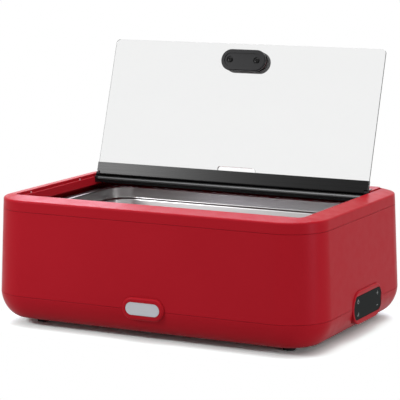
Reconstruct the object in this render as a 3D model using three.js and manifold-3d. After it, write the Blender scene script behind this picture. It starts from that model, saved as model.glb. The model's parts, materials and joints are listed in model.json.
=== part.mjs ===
// Electric chafing dish: red moulded housing, glass lid on a full-length hinge, one full-size food pan.
// Millimetres, +Z up. The origin is on the table, under the middle of the housing; -Y is the serving side.

import * as THREE from 'three';
import { mergeVertices } from 'three/addons/utils/BufferGeometryUtils.js';
import Module from 'manifold-3d';

const wasm = await Module();
wasm.setup();

// Food pan of the full buffet size
const pan_length = 530;
const pan_depth = 325;
const pan_flange = 12;
const pan_sheet = 1;
const pan_lip = 3;
const pan_corner_radius = 20;
const pan_mouth_radius = 42;
const pan_height = 65;
const pan_shoulder_drop = 20;
const pan_shoulder_inset = 3.4;
const pan_taper_inset = 6;
const pan_floor_radius = 10;
const pan_flange_drop = 23;

// Housing outline and levels
const side_room = 37;
const front_room = 40.9;
const housing_corner_radius = 67;
const wall_flare = 6.8;
const feet_height = 12.6;
const base_height = 43.6;
const body_height = 145.2;
const frame_skirt_height = 18.6;
const frame_crown_rise = 5.6;
const wall = 3;
const seam_gap = 0.7;
const seat_gap = 0.3;
const cut_overrun = 20;

// Top frame
const band_width = 31.6;
const band_edge_radius = 2.2;
const recess_corner_radius = 10;
const recess_depth = 5.6;
const ledge_width = 3.5;
const inner_lip_height = 14.5;

// Overlapping collars that locate one shell in the next
const collar_height = 4.6;
const collar_wall = 2;
const collar_clearance = 0.4;

// Body shell's shelf, which the heating well hangs on
const shelf_drop = 9;
const shelf_wall = 3;
const shelf_overlap = 5;

// Underside of the base
const underside_inset = 31;
const underside_curve_power = 1.75;
const vent_length = 56;
const vent_width = 5;
const vent_pitch = 16;
const vent_count = 6;
const vent_group_offset = 96;

// Feet and the screws under the base
const foot_radius = 12.5;
const foot_tip_radius = 10.5;
const foot_edge_radius = 2;
const foot_inset_x = 67;
const foot_inset_y = 63.4;
const foot_recess_radius = 5;
const foot_recess_depth = 7;
const foot_hole_clearance = 0.4;
const screw_radius = 2;
const screw_head_radius = 3.8;
const screw_head_height = 2.4;
const boss_radius = 6;
const boss_height = 9;
const leg_inset_x = 40;
const leg_inset_y = 83.4;
const leg_rib_height = 30;
const leg_rib_gap = 1.1;
const leg_rib_thickness = 3;
const leg_hole_depth = 14;

// Badge on the front, left blank
const badge_length = 78;
const badge_height = 38;
const badge_rise = 2.2;
const badge_offset = 2.8;
const badge_proud = 4.6;
const badge_edge_radius = 2.4;
const badge_depth = 14;
const plate_length = 63.5;
const plate_height = 21.5;
const plate_thickness = 1.2;
const plate_inset = 0.5;

// Control panel on the right-hand side
const bezel_length = 127;
const bezel_height = 57;
const bezel_drop = 1.6;
const bezel_offset = 12;
const bezel_proud = 1.6;
const bezel_edge_radius = 1.6;
const bezel_depth = 17;
const panel_side_margin = 4.5;
const panel_top_margin = 8.75;
const panel_corner_radius = 14;
const panel_thickness = 2.4;
const panel_inset = 0.6;
const window_margin = 9;
const window_corner_radius = 6;
const board_thickness = 1.6;
const board_margin = 5;
const board_chip_size = 10;
const board_chip_height = 5;

// Power inlet on the back
const inlet_rise = 45.4;
const inlet_inset = 112;
const inlet_flange_length = 50;
const inlet_flange_height = 28;
const inlet_flange_thickness = 2.6;
const inlet_corner_radius = 5;
const inlet_body_length = 29;
const inlet_body_height = 21;
const inlet_body_depth = 22;
const inlet_socket_length = 24.4;
const inlet_socket_height = 16.6;
const inlet_socket_depth = 16;
const inlet_socket_chamfer = 5;
const inlet_blade_length = 4;
const inlet_blade_thickness = 2;
const inlet_blade_spacing = 14;
const inlet_earth_drop = 4;
const inlet_blade_reach = 13;
const inlet_screw_spacing = 40;
const inlet_screw_radius = 1.7;
const inlet_screw_head_radius = 3;
const inlet_screw_crown_radius = 2.1;
const inlet_screw_head_height = 1.8;
const inlet_screw_length = 12;

// Heating well
const well_clearance = 4;
const well_sheet = 1;
const well_floor_gap = 17.3;
const well_taper_inset = 3;
const well_floor_radius = 12;
const well_flange = 22;

// Heater stack under the well
const heater_end_room = 57;
const heater_side_room = 39.5;
const heater_corner_radius = 14;
const heater_plate_thickness = 4;
const element_radius = 4;
const element_bend_radius = 25;
const element_end_room = 50;
const element_run_count = 4;
const element_side_count = 6;
const element_step_count = 60;
const insulation_margin = 20;
const insulation_thickness = 14;
const shield_sheet = 1;
const shield_wall = 20;
const shield_margin = 6;
const post_radius = 6;
const post_inset = 20;
const sensor_radius = 4;
const sensor_gap = 1.3;
const sensor_inset = 80;
const cutout_radius = 8;
const cutout_inset = 80;
const power_board_length = 110;
const power_board_width = 70;
const power_board_offset = -150;
const power_board_post_gap = 4;
const relay_length = 28;
const relay_width = 20;
const relay_height = 16;
const board_post_height = 6;
const board_post_radius = 3.5;
const board_post_inset = 8;

// Lid hinge: axis, lid profile and the bar that carries it
const hinge_inset = 63.6;
const lid_lean_deg = 17.9;
const glass_thickness = 4;
const glass_bond = 0.3;
const leaf_wall = 1.2;
const profile_height = 20.5;
const glass_back = 9.8;
const rod_radius = 1.5;
const rod_clearance = 0.25;
const rod_end_gap = 0.3;
const cradle_clearance = 0.4;
const bar_end_gap = 2.9;
const bar_front = 12.5;
const bar_bevel = 4.5;
const bar_drop = 14.7;
const bar_back = 5;
const bar_wall = 2;
const cap_wall = 1.8;
const ear_width = 5.2;
const ear_clearance = 0.4;
const mitre_reach = 12.5;
const cap_recess = 0.8;
const pocket_clearance = 0.6;

// Lid glass
const lid_overhang = 1;
const lid_front_gap = 26.7;
const lid_corner_radius = 8;
const notch_width = 74;
const notch_offset = 13.5;
const notch_rise = 7.6;
const notch_radius = 6;

// Rear pane
const pane_end_gap = 1.8;
const bumper_radius = 1.5;
const bumper_height = 3;
const bumper_taper_share = 0.7;
const bumper_side_shares = [-0.7, 0.256];
const bumper_rear_share = 0.555;

// Lid handle
const handle_length = 88;
const handle_width = 39;
const handle_inset = 31;
const handle_plate_thickness = 5;
const handle_grip_height = 17;
const handle_waist = 3.5;
const handle_waist_height = 8;
const handle_edge_radius = 2;
const handle_washer_thickness = 0.8;
const handle_screw_spacing = 53;
const handle_hole_radius = 4;
const handle_sink_radius = 6.5;
const handle_sink_depth = 2.6;
const handle_screw_radius = 2.4;
const handle_screw_head_radius = 4.6;
const handle_screw_head_height = 2;
const handle_screw_reach = 10;
const handle_rib_width = 8;
const handle_rib_length = 30;
const handle_rib_height = 1.4;

// Facets
const corner_steps = 8;
const sheet_corner_steps = 6;
const small_corner_steps = 4;
const slot_end_steps = 2;
const round_steps = 16;
const small_round_steps = 8;
const fillet_steps = 3;
const underside_steps = 6;

// Levels worked out from the sizes above
const base_floor = feet_height;
const low_seam = base_floor + base_height;
const top_seam = low_seam + body_height;
const frame_edge = top_seam + frame_skirt_height;
const frame_crown = frame_edge + frame_crown_rise;
const ledge_level = frame_crown - recess_depth;
const lip_bottom = ledge_level - inner_lip_height;
const half_length = pan_length / 2 + side_room;
const half_depth = pan_depth / 2 + front_room;
const recess_half_length = half_length - band_width;
const recess_half_depth = half_depth - band_width;
const lip_half_length = recess_half_length - ledge_width;
const lip_half_depth = recess_half_depth - ledge_width;
const foot_hole_radius = screw_radius + foot_hole_clearance;
const foot_spacing_x = 2 * (half_length - foot_inset_x);
const foot_spacing_y = 2 * (half_depth - foot_inset_y);
const leg_spacing_x = 2 * (half_length - leg_inset_x);
const leg_spacing_y = 2 * (half_depth - leg_inset_y);
const badge_level = low_seam + badge_rise;
const bezel_level = low_seam - bezel_drop;
const panel_length = bezel_length - 2 * panel_side_margin;
const panel_height = bezel_height - 2 * panel_top_margin;
const bezel_face = half_length + wall_flare + bezel_proud;
const inlet_level = low_seam + inlet_rise;
const inlet_offset = half_length - inlet_inset;
const shelf_level = top_seam - shelf_drop;
const pan_flange_level = ledge_level - pan_flange_drop;
const well_flange_level = pan_flange_level - pan_lip - seat_gap;
const well_floor = pan_flange_level - pan_height - well_floor_gap;
const well_half_length = pan_length / 2 - pan_flange + well_clearance;
const well_half_depth = pan_depth / 2 - pan_flange + well_clearance;
const heater_length = 2 * (well_half_length - heater_end_room);
const heater_depth = 2 * (well_half_depth - heater_side_room);
const element_run = heater_length - 2 * element_end_room;
const plate_top = well_floor - well_sheet - seat_gap;
const plate_bottom = plate_top - heater_plate_thickness;
const element_level = plate_bottom - seat_gap - element_radius;
const insulation_top = element_level - element_radius - seat_gap;
const insulation_bottom = insulation_top - insulation_thickness;
const shield_bottom = insulation_bottom - seat_gap - shield_sheet;
const post_spacing_x = heater_length - 2 * post_inset;
const post_spacing_y = heater_depth - 2 * post_inset;
const hinge_y = recess_half_depth - hinge_inset;
const hinge_z = ledge_level + bumper_height + seat_gap + glass_thickness / 2;
const barrel_bore_radius = rod_radius + rod_clearance;
const barrel_radius = glass_thickness / 2 + glass_bond + leaf_wall;
const cradle_radius = barrel_radius + cradle_clearance;
const bar_half_length = recess_half_length - bar_end_gap;
const lid_half_width = bar_half_length + lid_overhang;
const lid_reach = recess_half_depth + hinge_y - lid_front_gap;
const handle_reach = lid_reach - handle_inset;
const lean = THREE.MathUtils.degToRad(lid_lean_deg);

// Colours and finishes
const red_plastic = { color: 0xa3141f, roughness: 0.42, metalness: 0 };
const steel = { color: 0xc2c3c4, roughness: 0.28, metalness: 1 };
const black_metal = { color: 0x1d1d1e, roughness: 0.42, metalness: 0.6 };
const black_plastic = { color: 0x161617, roughness: 0.45, metalness: 0 };
const clear_glass = { color: 0xeef4f2, roughness: 0.03, metalness: 0, opacity: 0.3, transparent: true };
const black_glass = { color: 0x14181a, roughness: 0.08, metalness: 0 };
const silver = { color: 0xc4c8cc, roughness: 0.34, metalness: 0.9 };
const aluminium = { color: 0xb9bbbd, roughness: 0.4, metalness: 1 };
const rubber = { color: 0x1b1b1b, roughness: 0.85, metalness: 0 };
const silicone = { color: 0xd8a0a6, roughness: 0.5, metalness: 0 };
const wool = { color: 0xd9d3c4, roughness: 0.95, metalness: 0 };
const board_green = { color: 0x1f5a3a, roughness: 0.55, metalness: 0 };

const dish = new THREE.Group();

// Adds a named piece to a group
function addPiece(name, geometry, finish, parent = dish) {
  const mesh = new THREE.Mesh(geometry, new THREE.MeshStandardMaterial(finish));
  mesh.name = name;
  parent.add(mesh);
  return mesh;
}

// Adds numbered copies, such as the screws of one kind
function addEach(name, geometries, finish, parent = dish) {
  geometries.forEach((geometry, i) => addPiece(`${name}_${i + 1}`, geometry, finish, parent));
}

// Turns a closed geometry into a solid that can be joined and cut
function toSolid(geometry) {
  const bare = geometry.clone();
  bare.deleteAttribute('normal');
  bare.deleteAttribute('uv');
  const merged = mergeVertices(bare);
  const mesh = new wasm.Mesh({
    numProp: 3,
    vertProperties: new Float32Array(merged.attributes.position.array),
    triVerts: new Uint32Array(merged.index.array),
  });
  mesh.merge();
  return new wasm.Manifold(mesh);
}

// Turns a solid back into a geometry
function toGeometry(solid) {
  const mesh = solid.getMesh();
  const geometry = new THREE.BufferGeometry();
  geometry.setAttribute('position', new THREE.BufferAttribute(mesh.vertProperties, 3));
  geometry.setIndex(new THREE.BufferAttribute(mesh.triVerts, 1));
  geometry.computeVertexNormals();
  return geometry;
}

function cut(geometry, ...cutters) {
  return toGeometry(cutters.reduce((solid, cutter) => solid.subtract(toSolid(cutter)), toSolid(geometry)));
}

function join(...geometries) {
  return toGeometry(geometries.map(toSolid).reduce((whole, piece) => whole.add(piece)));
}

// Outline of a rectangle with round corners, anticlockwise
function roundedOutline(half_x, half_y, radius, steps = corner_steps) {
  const points = [];
  for (let corner = 0; corner < 4; corner += 1) {
    const side_x = corner === 0 || corner === 3 ? 1 : -1;
    const side_y = corner < 2 ? 1 : -1;
    for (let step = 0; step <= steps; step += 1) {
      const angle = ((corner + step / steps) * Math.PI) / 2;
      const x = side_x * (half_x - radius) + radius * Math.cos(angle);
      const y = side_y * (half_y - radius) + radius * Math.sin(angle);
      points.push(new THREE.Vector2(x, y));
    }
  }
  return points;
}

// Skins a row of round-cornered outlines, each { half_x, half_y, radius, z }.
// A ring joins its last outline to its first; otherwise both ends are capped.
function skin(sections, ring = false, steps = corner_steps) {
  const outlines = sections.map((s) => roundedOutline(s.half_x, s.half_y, s.radius, steps));
  const count = outlines[0].length;
  const positions = outlines.flatMap((outline, i) => outline.flatMap((p) => [p.x, p.y, sections[i].z]));
  const triangles = [];
  const bands = ring ? sections.length : sections.length - 1;
  for (let band = 0; band < bands; band += 1) {
    const low = band * count;
    const high = ((band + 1) % sections.length) * count;
    for (let i = 0; i < count; i += 1) {
      const next = (i + 1) % count;
      triangles.push(low + i, low + next, high + next, low + i, high + next, high + i);
    }
  }
  if (!ring) {
    const last = (sections.length - 1) * count;
    for (let i = 1; i < count - 1; i += 1) {
      triangles.push(0, i + 1, i, last, last + i, last + i + 1);
    }
  }
  const geometry = new THREE.BufferGeometry();
  geometry.setAttribute('position', new THREE.Float32BufferAttribute(positions, 3));
  geometry.setIndex(triangles);
  geometry.computeVertexNormals();
  return geometry;
}

// A section of the housing, drawn in by an inset from the top outline
function housingSection(inset, z, radius = housing_corner_radius - inset) {
  return { half_x: half_length - inset, half_y: half_depth - inset, radius, z };
}

function section(half_x, half_y, radius, z) {
  return { half_x, half_y, radius, z };
}

function box(size_x, size_y, size_z, x, y, z) {
  return new THREE.BoxGeometry(size_x, size_y, size_z).translate(x, y, z);
}

// Upright cylinder between two levels, or a cone when the top has a radius of its own
function post(radius, from, to, x = 0, y = 0, steps = round_steps, top_radius = radius) {
  const geometry = new THREE.CylinderGeometry(top_radius, radius, to - from, steps);
  return geometry.rotateX(Math.PI / 2).translate(x, y, (from + to) / 2);
}

function smallPost(radius, from, to, x, y, top_radius = radius) {
  return post(radius, from, to, x, y, small_round_steps, top_radius);
}

function outlineShape(half_x, half_y, radius, steps = small_corner_steps) {
  return new THREE.Shape(roundedOutline(half_x, half_y, radius, steps));
}

function circlePath(x, y, radius, steps = round_steps) {
  const points = [];
  for (let i = 0; i < steps; i += 1) {
    const angle = (2 * Math.PI * i) / steps;
    points.push(new THREE.Vector2(x + radius * Math.cos(angle), y + radius * Math.sin(angle)));
  }
  return new THREE.Path(points);
}

function circleShape(radius, steps = round_steps) {
  return new THREE.Shape(circlePath(0, 0, radius, steps).getPoints());
}

// Outline with half-round ends
function stadiumShape(length, height) {
  return outlineShape(length / 2, height / 2, height / 2, sheet_corner_steps);
}

// Extrudes a shape, with rounded edges when a radius is given
function slab(shape, thickness, edge = 0) {
  const rounded = edge > 0;
  const geometry = new THREE.ExtrudeGeometry(shape, {
    depth: thickness - (rounded ? 2 * edge : 0),
    steps: 1,
    bevelEnabled: rounded,
    bevelThickness: edge,
    bevelSize: edge,
    bevelOffset: -edge,
    bevelSegments: fillet_steps,
    curveSegments: small_corner_steps,
  });
  return rounded ? geometry.translate(0, 0, edge) : geometry;
}

// Drawing planes: a shape's x, y and extrusion depth become these axes
const axis_x = new THREE.Vector3(1, 0, 0);
const axis_y = new THREE.Vector3(0, 1, 0);
const axis_z = new THREE.Vector3(0, 0, 1);
const facing_right = new THREE.Matrix4().makeBasis(axis_y, axis_z, axis_x);
const facing_front = new THREE.Matrix4().makeBasis(axis_x, axis_z, axis_y.clone().negate());
const facing_back = new THREE.Matrix4().makeBasis(axis_x.clone().negate(), axis_z, axis_y);

// A pair of values on either side of the middle, at a spacing
function pair(spacing) {
  return [-spacing / 2, spacing / 2];
}

// The four places at a rectangular spacing
function corners(spacing_x, spacing_y) {
  return pair(spacing_y).flatMap((y) => pair(spacing_x).map((x) => [x, y]));
}

// How far the outside of the housing stands out beyond the top outline, at a level
function flareAt(z) {
  if (z >= low_seam) {
    return (wall_flare * (frame_edge - z)) / (frame_edge - low_seam);
  }
  const share = Math.min((low_seam - z) / base_height, 1);
  const inner = Math.pow(1 - Math.pow(share, underside_curve_power), 1 / underside_curve_power);
  return wall_flare - underside_inset * (1 - inner);
}

// Top frame: sloped band with a rounded outer edge, glass recess, ledge and inner lip
function makeTopFrame() {
  const slope = Math.atan2(frame_crown_rise, band_width);
  const sections = [housingSection(-flareAt(top_seam), top_seam + seam_gap)];
  for (let i = 0; i <= fillet_steps; i += 1) {
    const angle = ((Math.PI / 2 - slope) * i) / fillet_steps;
    const inset = band_edge_radius * (1 - Math.cos(angle));
    const rise = band_edge_radius * (Math.sin(angle) - 1);
    sections.push(housingSection(inset, frame_edge + rise + band_edge_radius * Math.tan(slope)));
  }
  const recess = (z) => section(recess_half_length, recess_half_depth, recess_corner_radius, z);
  const lip_radius = recess_corner_radius - ledge_width;
  const lip = (z) => section(lip_half_length, lip_half_depth, lip_radius, z);
  const lip_back = (z) => section(lip_half_length + wall, lip_half_depth + wall, lip_radius + wall, z);
  sections.push(recess(frame_crown), recess(ledge_level));
  sections.push(lip(ledge_level), lip(lip_bottom));
  sections.push(lip_back(lip_bottom), lip_back(ledge_level - wall));
  sections.push(housingSection(wall, frame_edge - wall));
  sections.push(housingSection(wall - flareAt(top_seam), top_seam + seam_gap));
  const frame = skin(sections, true);
  const pocket_y = hinge_y + (bar_back - bar_front) / 2;
  const pocket_top = ledge_level + cut_overrun;
  const pocket_floor = hinge_z - bar_drop - seat_gap;
  const pockets = [-1, 1].map((side) => box(
    2 * (recess_half_length - bar_half_length + mitre_reach),
    bar_front + bar_back + 2 * pocket_clearance,
    pocket_top - pocket_floor,
    side * (bar_half_length - mitre_reach),
    pocket_y,
    (pocket_top + pocket_floor) / 2,
  ));
  return cut(frame, ...pockets);
}

// Openings through the side walls for the badge, the control panel and the power inlet
function badgeOpening() {
  const shape = stadiumShape(badge_length + 2 * seat_gap, badge_height + 2 * seat_gap);
  return slab(shape, badge_depth + cut_overrun).applyMatrix4(facing_front)
    .translate(badge_offset, badge_depth - half_depth - wall_flare, badge_level);
}

function bezelOpening() {
  const shape = stadiumShape(bezel_length + 2 * seat_gap, bezel_height + 2 * seat_gap);
  return slab(shape, bezel_depth + cut_overrun).applyMatrix4(facing_right)
    .translate(half_length + wall_flare - bezel_depth, bezel_offset, bezel_level);
}

// Places a piece that faces back on the leaning rear wall
function ontoRearWall(geometry) {
  const tilt = Math.atan2(wall_flare, frame_edge - low_seam);
  return geometry.applyMatrix4(facing_back).rotateX(tilt)
    .translate(inlet_offset, half_depth + flareAt(inlet_level), inlet_level);
}

function inletOpening() {
  const shape = outlineShape(inlet_body_length / 2 + seat_gap, inlet_body_height / 2 + seat_gap, seat_gap);
  const opening = slab(shape, 2 * cut_overrun).translate(0, 0, -cut_overrun);
  const hole_radius = inlet_screw_radius + seat_gap;
  const holes = pair(inlet_screw_spacing).map((x) => smallPost(hole_radius, -cut_overrun, cut_overrun, x, 0));
  return [opening, ...holes].map(ontoRearWall);
}

// Body shell: flared wall, locating collar at the top and the shelf that holds the well
function makeBodyShell() {
  const low = low_seam + seam_gap / 2;
  const high = top_seam;
  const wall_at = (inset, z) => housingSection(inset - flareAt(z), z);
  const collar_outer = wall + collar_clearance;
  const shelf_half_length = well_half_length + well_flange - shelf_overlap;
  const shelf_half_depth = well_half_depth + well_flange - shelf_overlap;
  const shelf_radius = pan_mouth_radius;
  const shelf_top = well_flange_level - well_sheet - seat_gap;
  const body = skin([
    wall_at(0, low),
    wall_at(0, high),
    wall_at(collar_outer, high),
    wall_at(collar_outer, high + collar_height),
    wall_at(collar_outer + collar_wall, high + collar_height),
    wall_at(collar_outer + collar_wall, shelf_top),
    section(shelf_half_length, shelf_half_depth, shelf_radius, shelf_top),
    section(shelf_half_length, shelf_half_depth, shelf_radius, shelf_top - shelf_wall),
    wall_at(collar_outer + collar_wall, shelf_top - shelf_wall),
    wall_at(wall, shelf_level - shelf_drop - shelf_wall),
    wall_at(wall, low),
  ], true);
  const [legs, holes] = makeLegs();
  return cut(join(body, ...legs), badgeOpening(), bezelOpening(), ...inletOpening(), ...holes);
}

// Four legs inside the body shell, each on a rib from the end wall, that take the screws through the base
function makeLegs() {
  const bottom = base_floor + wall + seat_gap;
  const top = low_seam + collar_height + leg_rib_gap + leg_rib_height;
  const places = corners(leg_spacing_x, leg_spacing_y);
  const legs = places.map(([x, y]) => post(boss_radius, bottom, top, x, y));
  const ribs = places.map(([x, y]) => {
    const side = Math.sign(x);
    const length = half_length + flareAt(top) - wall / 2 - Math.abs(x);
    const middle = x + (side * length) / 2;
    return box(length, leg_rib_thickness, leg_rib_height, middle, y, top - leg_rib_height / 2);
  });
  const hole_radius = screw_radius + seat_gap;
  const hole_top = bottom + leg_hole_depth;
  const holes = places.map(([x, y]) => smallPost(hole_radius, bottom - cut_overrun, hole_top, x, y));
  return [[...legs, ...ribs], holes];
}

// Vent slots in the base floor, in two groups
function ventSlots() {
  const slots = [];
  for (const side of [-1, 1]) {
    for (let i = 0; i < vent_count; i += 1) {
      const x = side * vent_group_offset + (i - (vent_count - 1) / 2) * vent_pitch;
      const shape = outlineShape(vent_width / 2, vent_length / 2, vent_width / 2, slot_end_steps);
      slots.push(slab(shape, 2 * cut_overrun).translate(x, 0, base_floor - cut_overrun));
    }
  }
  return slots;
}

// Screw holes up through the base floor
function screwHoles(spacing_x, spacing_y, top) {
  const radius = screw_radius + seat_gap;
  const low = base_floor - cut_overrun;
  return corners(spacing_x, spacing_y).map(([x, y]) => smallPost(radius, low, top + cut_overrun, x, y));
}

// Base shell: curved underside, collar, screw bosses, posts under the heater, and vents
function makeBaseShell() {
  const high = low_seam - seam_gap / 2;
  const floor_top = base_floor + wall;
  const collar_top = low_seam + collar_height;
  const inside = wall + collar_clearance;
  const sections = [];
  for (let i = 0; i < underside_steps; i += 1) {
    const angle = (Math.PI * i) / 2 / underside_steps;
    const z = low_seam - base_height * Math.pow(Math.sin(angle), 2 / underside_curve_power);
    sections.unshift(housingSection(-flareAt(Math.min(z, high)), Math.min(z, high)));
  }
  sections.unshift(housingSection(underside_inset - wall_flare, base_floor));
  const inner = [];
  inner.push(housingSection(inside - wall_flare, high));
  inner.push(housingSection(inside - wall_flare, collar_top));
  inner.push(housingSection(inside + collar_wall - wall_flare, collar_top));
  for (let i = 0; i < underside_steps; i += 1) {
    const angle = (Math.PI * i) / 2 / underside_steps;
    const drop = (high - floor_top) * Math.pow(Math.sin(angle), 2 / underside_curve_power);
    const share = Math.pow(Math.cos(angle), 2 / underside_curve_power);
    const inset = inside + collar_wall - wall_flare + (underside_inset - collar_wall) * (1 - share);
    inner.push(housingSection(inset, high - drop));
  }
  inner.push(housingSection(inside + underside_inset - wall_flare, floor_top));
  const tray = skin([...sections, ...inner]);
  const boss_top = floor_top + boss_height;
  const inside_floor = floor_top - wall / 2;
  const post_top = shield_bottom - seat_gap;
  const bosses = [
    ...corners(foot_spacing_x, foot_spacing_y)
      .map(([x, y]) => post(boss_radius, inside_floor, boss_top, x, y)),
    ...corners(post_spacing_x, post_spacing_y)
      .map(([x, y]) => post(post_radius, inside_floor, post_top, x, y)),
  ];
  const holes = [
    ...screwHoles(foot_spacing_x, foot_spacing_y, boss_top),
    ...screwHoles(leg_spacing_x, leg_spacing_y, floor_top),
  ];
  return cut(join(tray, ...bosses), badgeOpening(), bezelOpening(), ...ventSlots(), ...holes);
}

// Feet, with a sunk hole for their screw
function makeFoot(x, y) {
  const profile = [
    [foot_hole_radius, feet_height - seat_gap],
    [foot_hole_radius, foot_recess_depth],
    [foot_recess_radius, foot_recess_depth],
    [foot_recess_radius, 0],
    [foot_tip_radius - foot_edge_radius, 0],
    [foot_tip_radius, foot_edge_radius],
    [foot_radius, feet_height - seat_gap - foot_edge_radius],
    [foot_radius - foot_edge_radius, feet_height - seat_gap],
    [foot_hole_radius, feet_height - seat_gap],
  ].map(([r, z]) => new THREE.Vector2(r, z));
  return new THREE.LatheGeometry(profile, round_steps).rotateX(Math.PI / 2).translate(x, y, 0);
}

// A screw that points up, with its head below
const screw_edge_share = 0.3;

function screwUp(x, y, head_level, reach, size) {
  const { radius, head_radius, head_height } = size;
  const edge = screw_edge_share * head_height;
  const profile = [
    [0, head_level],
    [head_radius - edge, head_level],
    [head_radius, head_level + edge],
    [head_radius, head_level + head_height],
    [radius, head_level + head_height],
    [radius, head_level + reach - radius / 2],
    [radius / 2, head_level + reach],
    [0, head_level + reach],
  ].map(([r, z]) => new THREE.Vector2(r, z));
  return new THREE.LatheGeometry(profile, small_round_steps).rotateX(Math.PI / 2).translate(x, y, 0);
}

const housing_screw = {
  radius: screw_radius,
  head_radius: screw_head_radius,
  head_height: screw_head_height,
};

function makeFootScrews() {
  const head = foot_recess_depth - screw_head_height - seat_gap;
  const reach = feet_height + wall + boss_height - head;
  return corners(foot_spacing_x, foot_spacing_y).map(([x, y]) => screwUp(x, y, head, reach, housing_screw));
}

// Screws that hold the base shell to the body shell's legs
function makeBaseScrews() {
  const head = base_floor - screw_head_height - seat_gap;
  const reach = screw_head_height + wall + leg_hole_depth - screw_radius;
  return corners(leg_spacing_x, leg_spacing_y).map(([x, y]) => screwUp(x, y, head, reach, housing_screw));
}

// Badge surround and its blank plate
function makeBadgeSurround() {
  const face = badge_depth + badge_proud;
  const ring = slab(stadiumShape(badge_length, badge_height), face, badge_edge_radius);
  const pocket_depth = plate_thickness + plate_inset + seat_gap;
  const pocket_shape = stadiumShape(plate_length + 2 * seat_gap, plate_height + 2 * seat_gap);
  const pocket = slab(pocket_shape, pocket_depth + cut_overrun).translate(0, 0, face - pocket_depth);
  return cut(ring, pocket).applyMatrix4(facing_front)
    .translate(badge_offset, badge_depth - half_depth - wall_flare, badge_level);
}

function makeBadgePlate() {
  const plate = slab(stadiumShape(plate_length, plate_height), plate_thickness);
  const back = plate_thickness + plate_inset - badge_proud - half_depth - wall_flare;
  return plate.applyMatrix4(facing_front).translate(badge_offset, back, badge_level);
}

// Control panel: bezel, black glass and the touch board behind it
function makeBezel() {
  const face = bezel_depth + bezel_proud;
  const ring = slab(stadiumShape(bezel_length, bezel_height), face, bezel_edge_radius);
  const pocket_depth = panel_thickness + panel_inset + seat_gap;
  const pocket_shape = outlineShape(
    panel_length / 2 + seat_gap,
    panel_height / 2 + seat_gap,
    panel_corner_radius + seat_gap,
  );
  const pocket = slab(pocket_shape, pocket_depth + cut_overrun).translate(0, 0, face - pocket_depth);
  const window_half_x = panel_length / 2 - window_margin;
  const window_half_y = panel_height / 2 - window_margin;
  const window_radius = Math.min(window_corner_radius, window_half_y);
  const window_shape = outlineShape(window_half_x, window_half_y, window_radius);
  const window = slab(window_shape, face + 2 * cut_overrun).translate(0, 0, -cut_overrun);
  return cut(ring, pocket, window).applyMatrix4(facing_right)
    .translate(bezel_face - face, bezel_offset, bezel_level);
}

function makeTouchPanel() {
  const shape = outlineShape(panel_length / 2, panel_height / 2, panel_corner_radius);
  return slab(shape, panel_thickness).applyMatrix4(facing_right)
    .translate(bezel_face - panel_inset - panel_thickness, bezel_offset, bezel_level);
}

function makeControlBoard() {
  const half_x = panel_length / 2 - board_margin;
  const half_y = panel_height / 2 - board_margin;
  const board = slab(outlineShape(half_x, half_y, board_margin, slot_end_steps), board_thickness);
  const chip_level = (board_thickness - board_chip_height) / 2;
  const chip = box(board_chip_size, board_chip_size, board_chip_height, half_x / 2, 0, chip_level);
  const back = half_length + wall_flare - bezel_depth - seat_gap - board_thickness;
  return join(board, chip).applyMatrix4(facing_right).translate(back, bezel_offset, bezel_level);
}

// Power inlet: flange, shrouded socket with three blades, and its screws
function makePowerInlet() {
  const flange_shape = outlineShape(inlet_flange_length / 2, inlet_flange_height / 2, inlet_corner_radius);
  const flange = slab(flange_shape, inlet_flange_thickness);
  const body_level = (inlet_flange_thickness - inlet_body_depth) / 2;
  const body = box(inlet_body_length, inlet_body_height, inlet_body_depth, 0, 0, body_level);
  const half_x = inlet_socket_length / 2;
  const half_y = inlet_socket_height / 2;
  const socket_shape = new THREE.Shape([
    new THREE.Vector2(-half_x, -half_y),
    new THREE.Vector2(half_x, -half_y),
    new THREE.Vector2(half_x, half_y - inlet_socket_chamfer),
    new THREE.Vector2(half_x - inlet_socket_chamfer, half_y),
    new THREE.Vector2(inlet_socket_chamfer - half_x, half_y),
    new THREE.Vector2(-half_x, half_y - inlet_socket_chamfer),
  ]);
  const socket_floor = inlet_flange_thickness - inlet_socket_depth;
  const socket = slab(socket_shape, inlet_socket_depth + cut_overrun).translate(0, 0, socket_floor);
  const hole_radius = inlet_screw_radius + seat_gap / 2;
  const holes = pair(inlet_screw_spacing).map((x) => smallPost(hole_radius, -cut_overrun, cut_overrun, x, 0));
  const shell = cut(join(flange, body), socket, ...holes);
  return ontoRearWall(join(shell, ...inletBlades(socket_floor)).translate(0, 0, seat_gap));
}

function inletBlades(socket_floor) {
  const top = socket_floor + inlet_blade_reach;
  const root = socket_floor - inlet_blade_thickness;
  const places = [...pair(inlet_blade_spacing).map((x) => [x, 0]), [0, inlet_earth_drop]];
  return places.map(([x, y]) => box(
    inlet_blade_thickness, inlet_blade_length, top - root, x, y, (top + root) / 2,
  ));
}

function makeInletScrews() {
  const low = inlet_flange_thickness + 2 * seat_gap;
  const high = low + inlet_screw_head_height;
  return pair(inlet_screw_spacing).map((x) => {
    const head = smallPost(inlet_screw_head_radius, low, high, x, 0, inlet_screw_crown_radius);
    const shank = smallPost(inlet_screw_radius, low - inlet_screw_length, (low + high) / 2, x, 0);
    return ontoRearWall(join(head, shank));
  });
}

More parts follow.
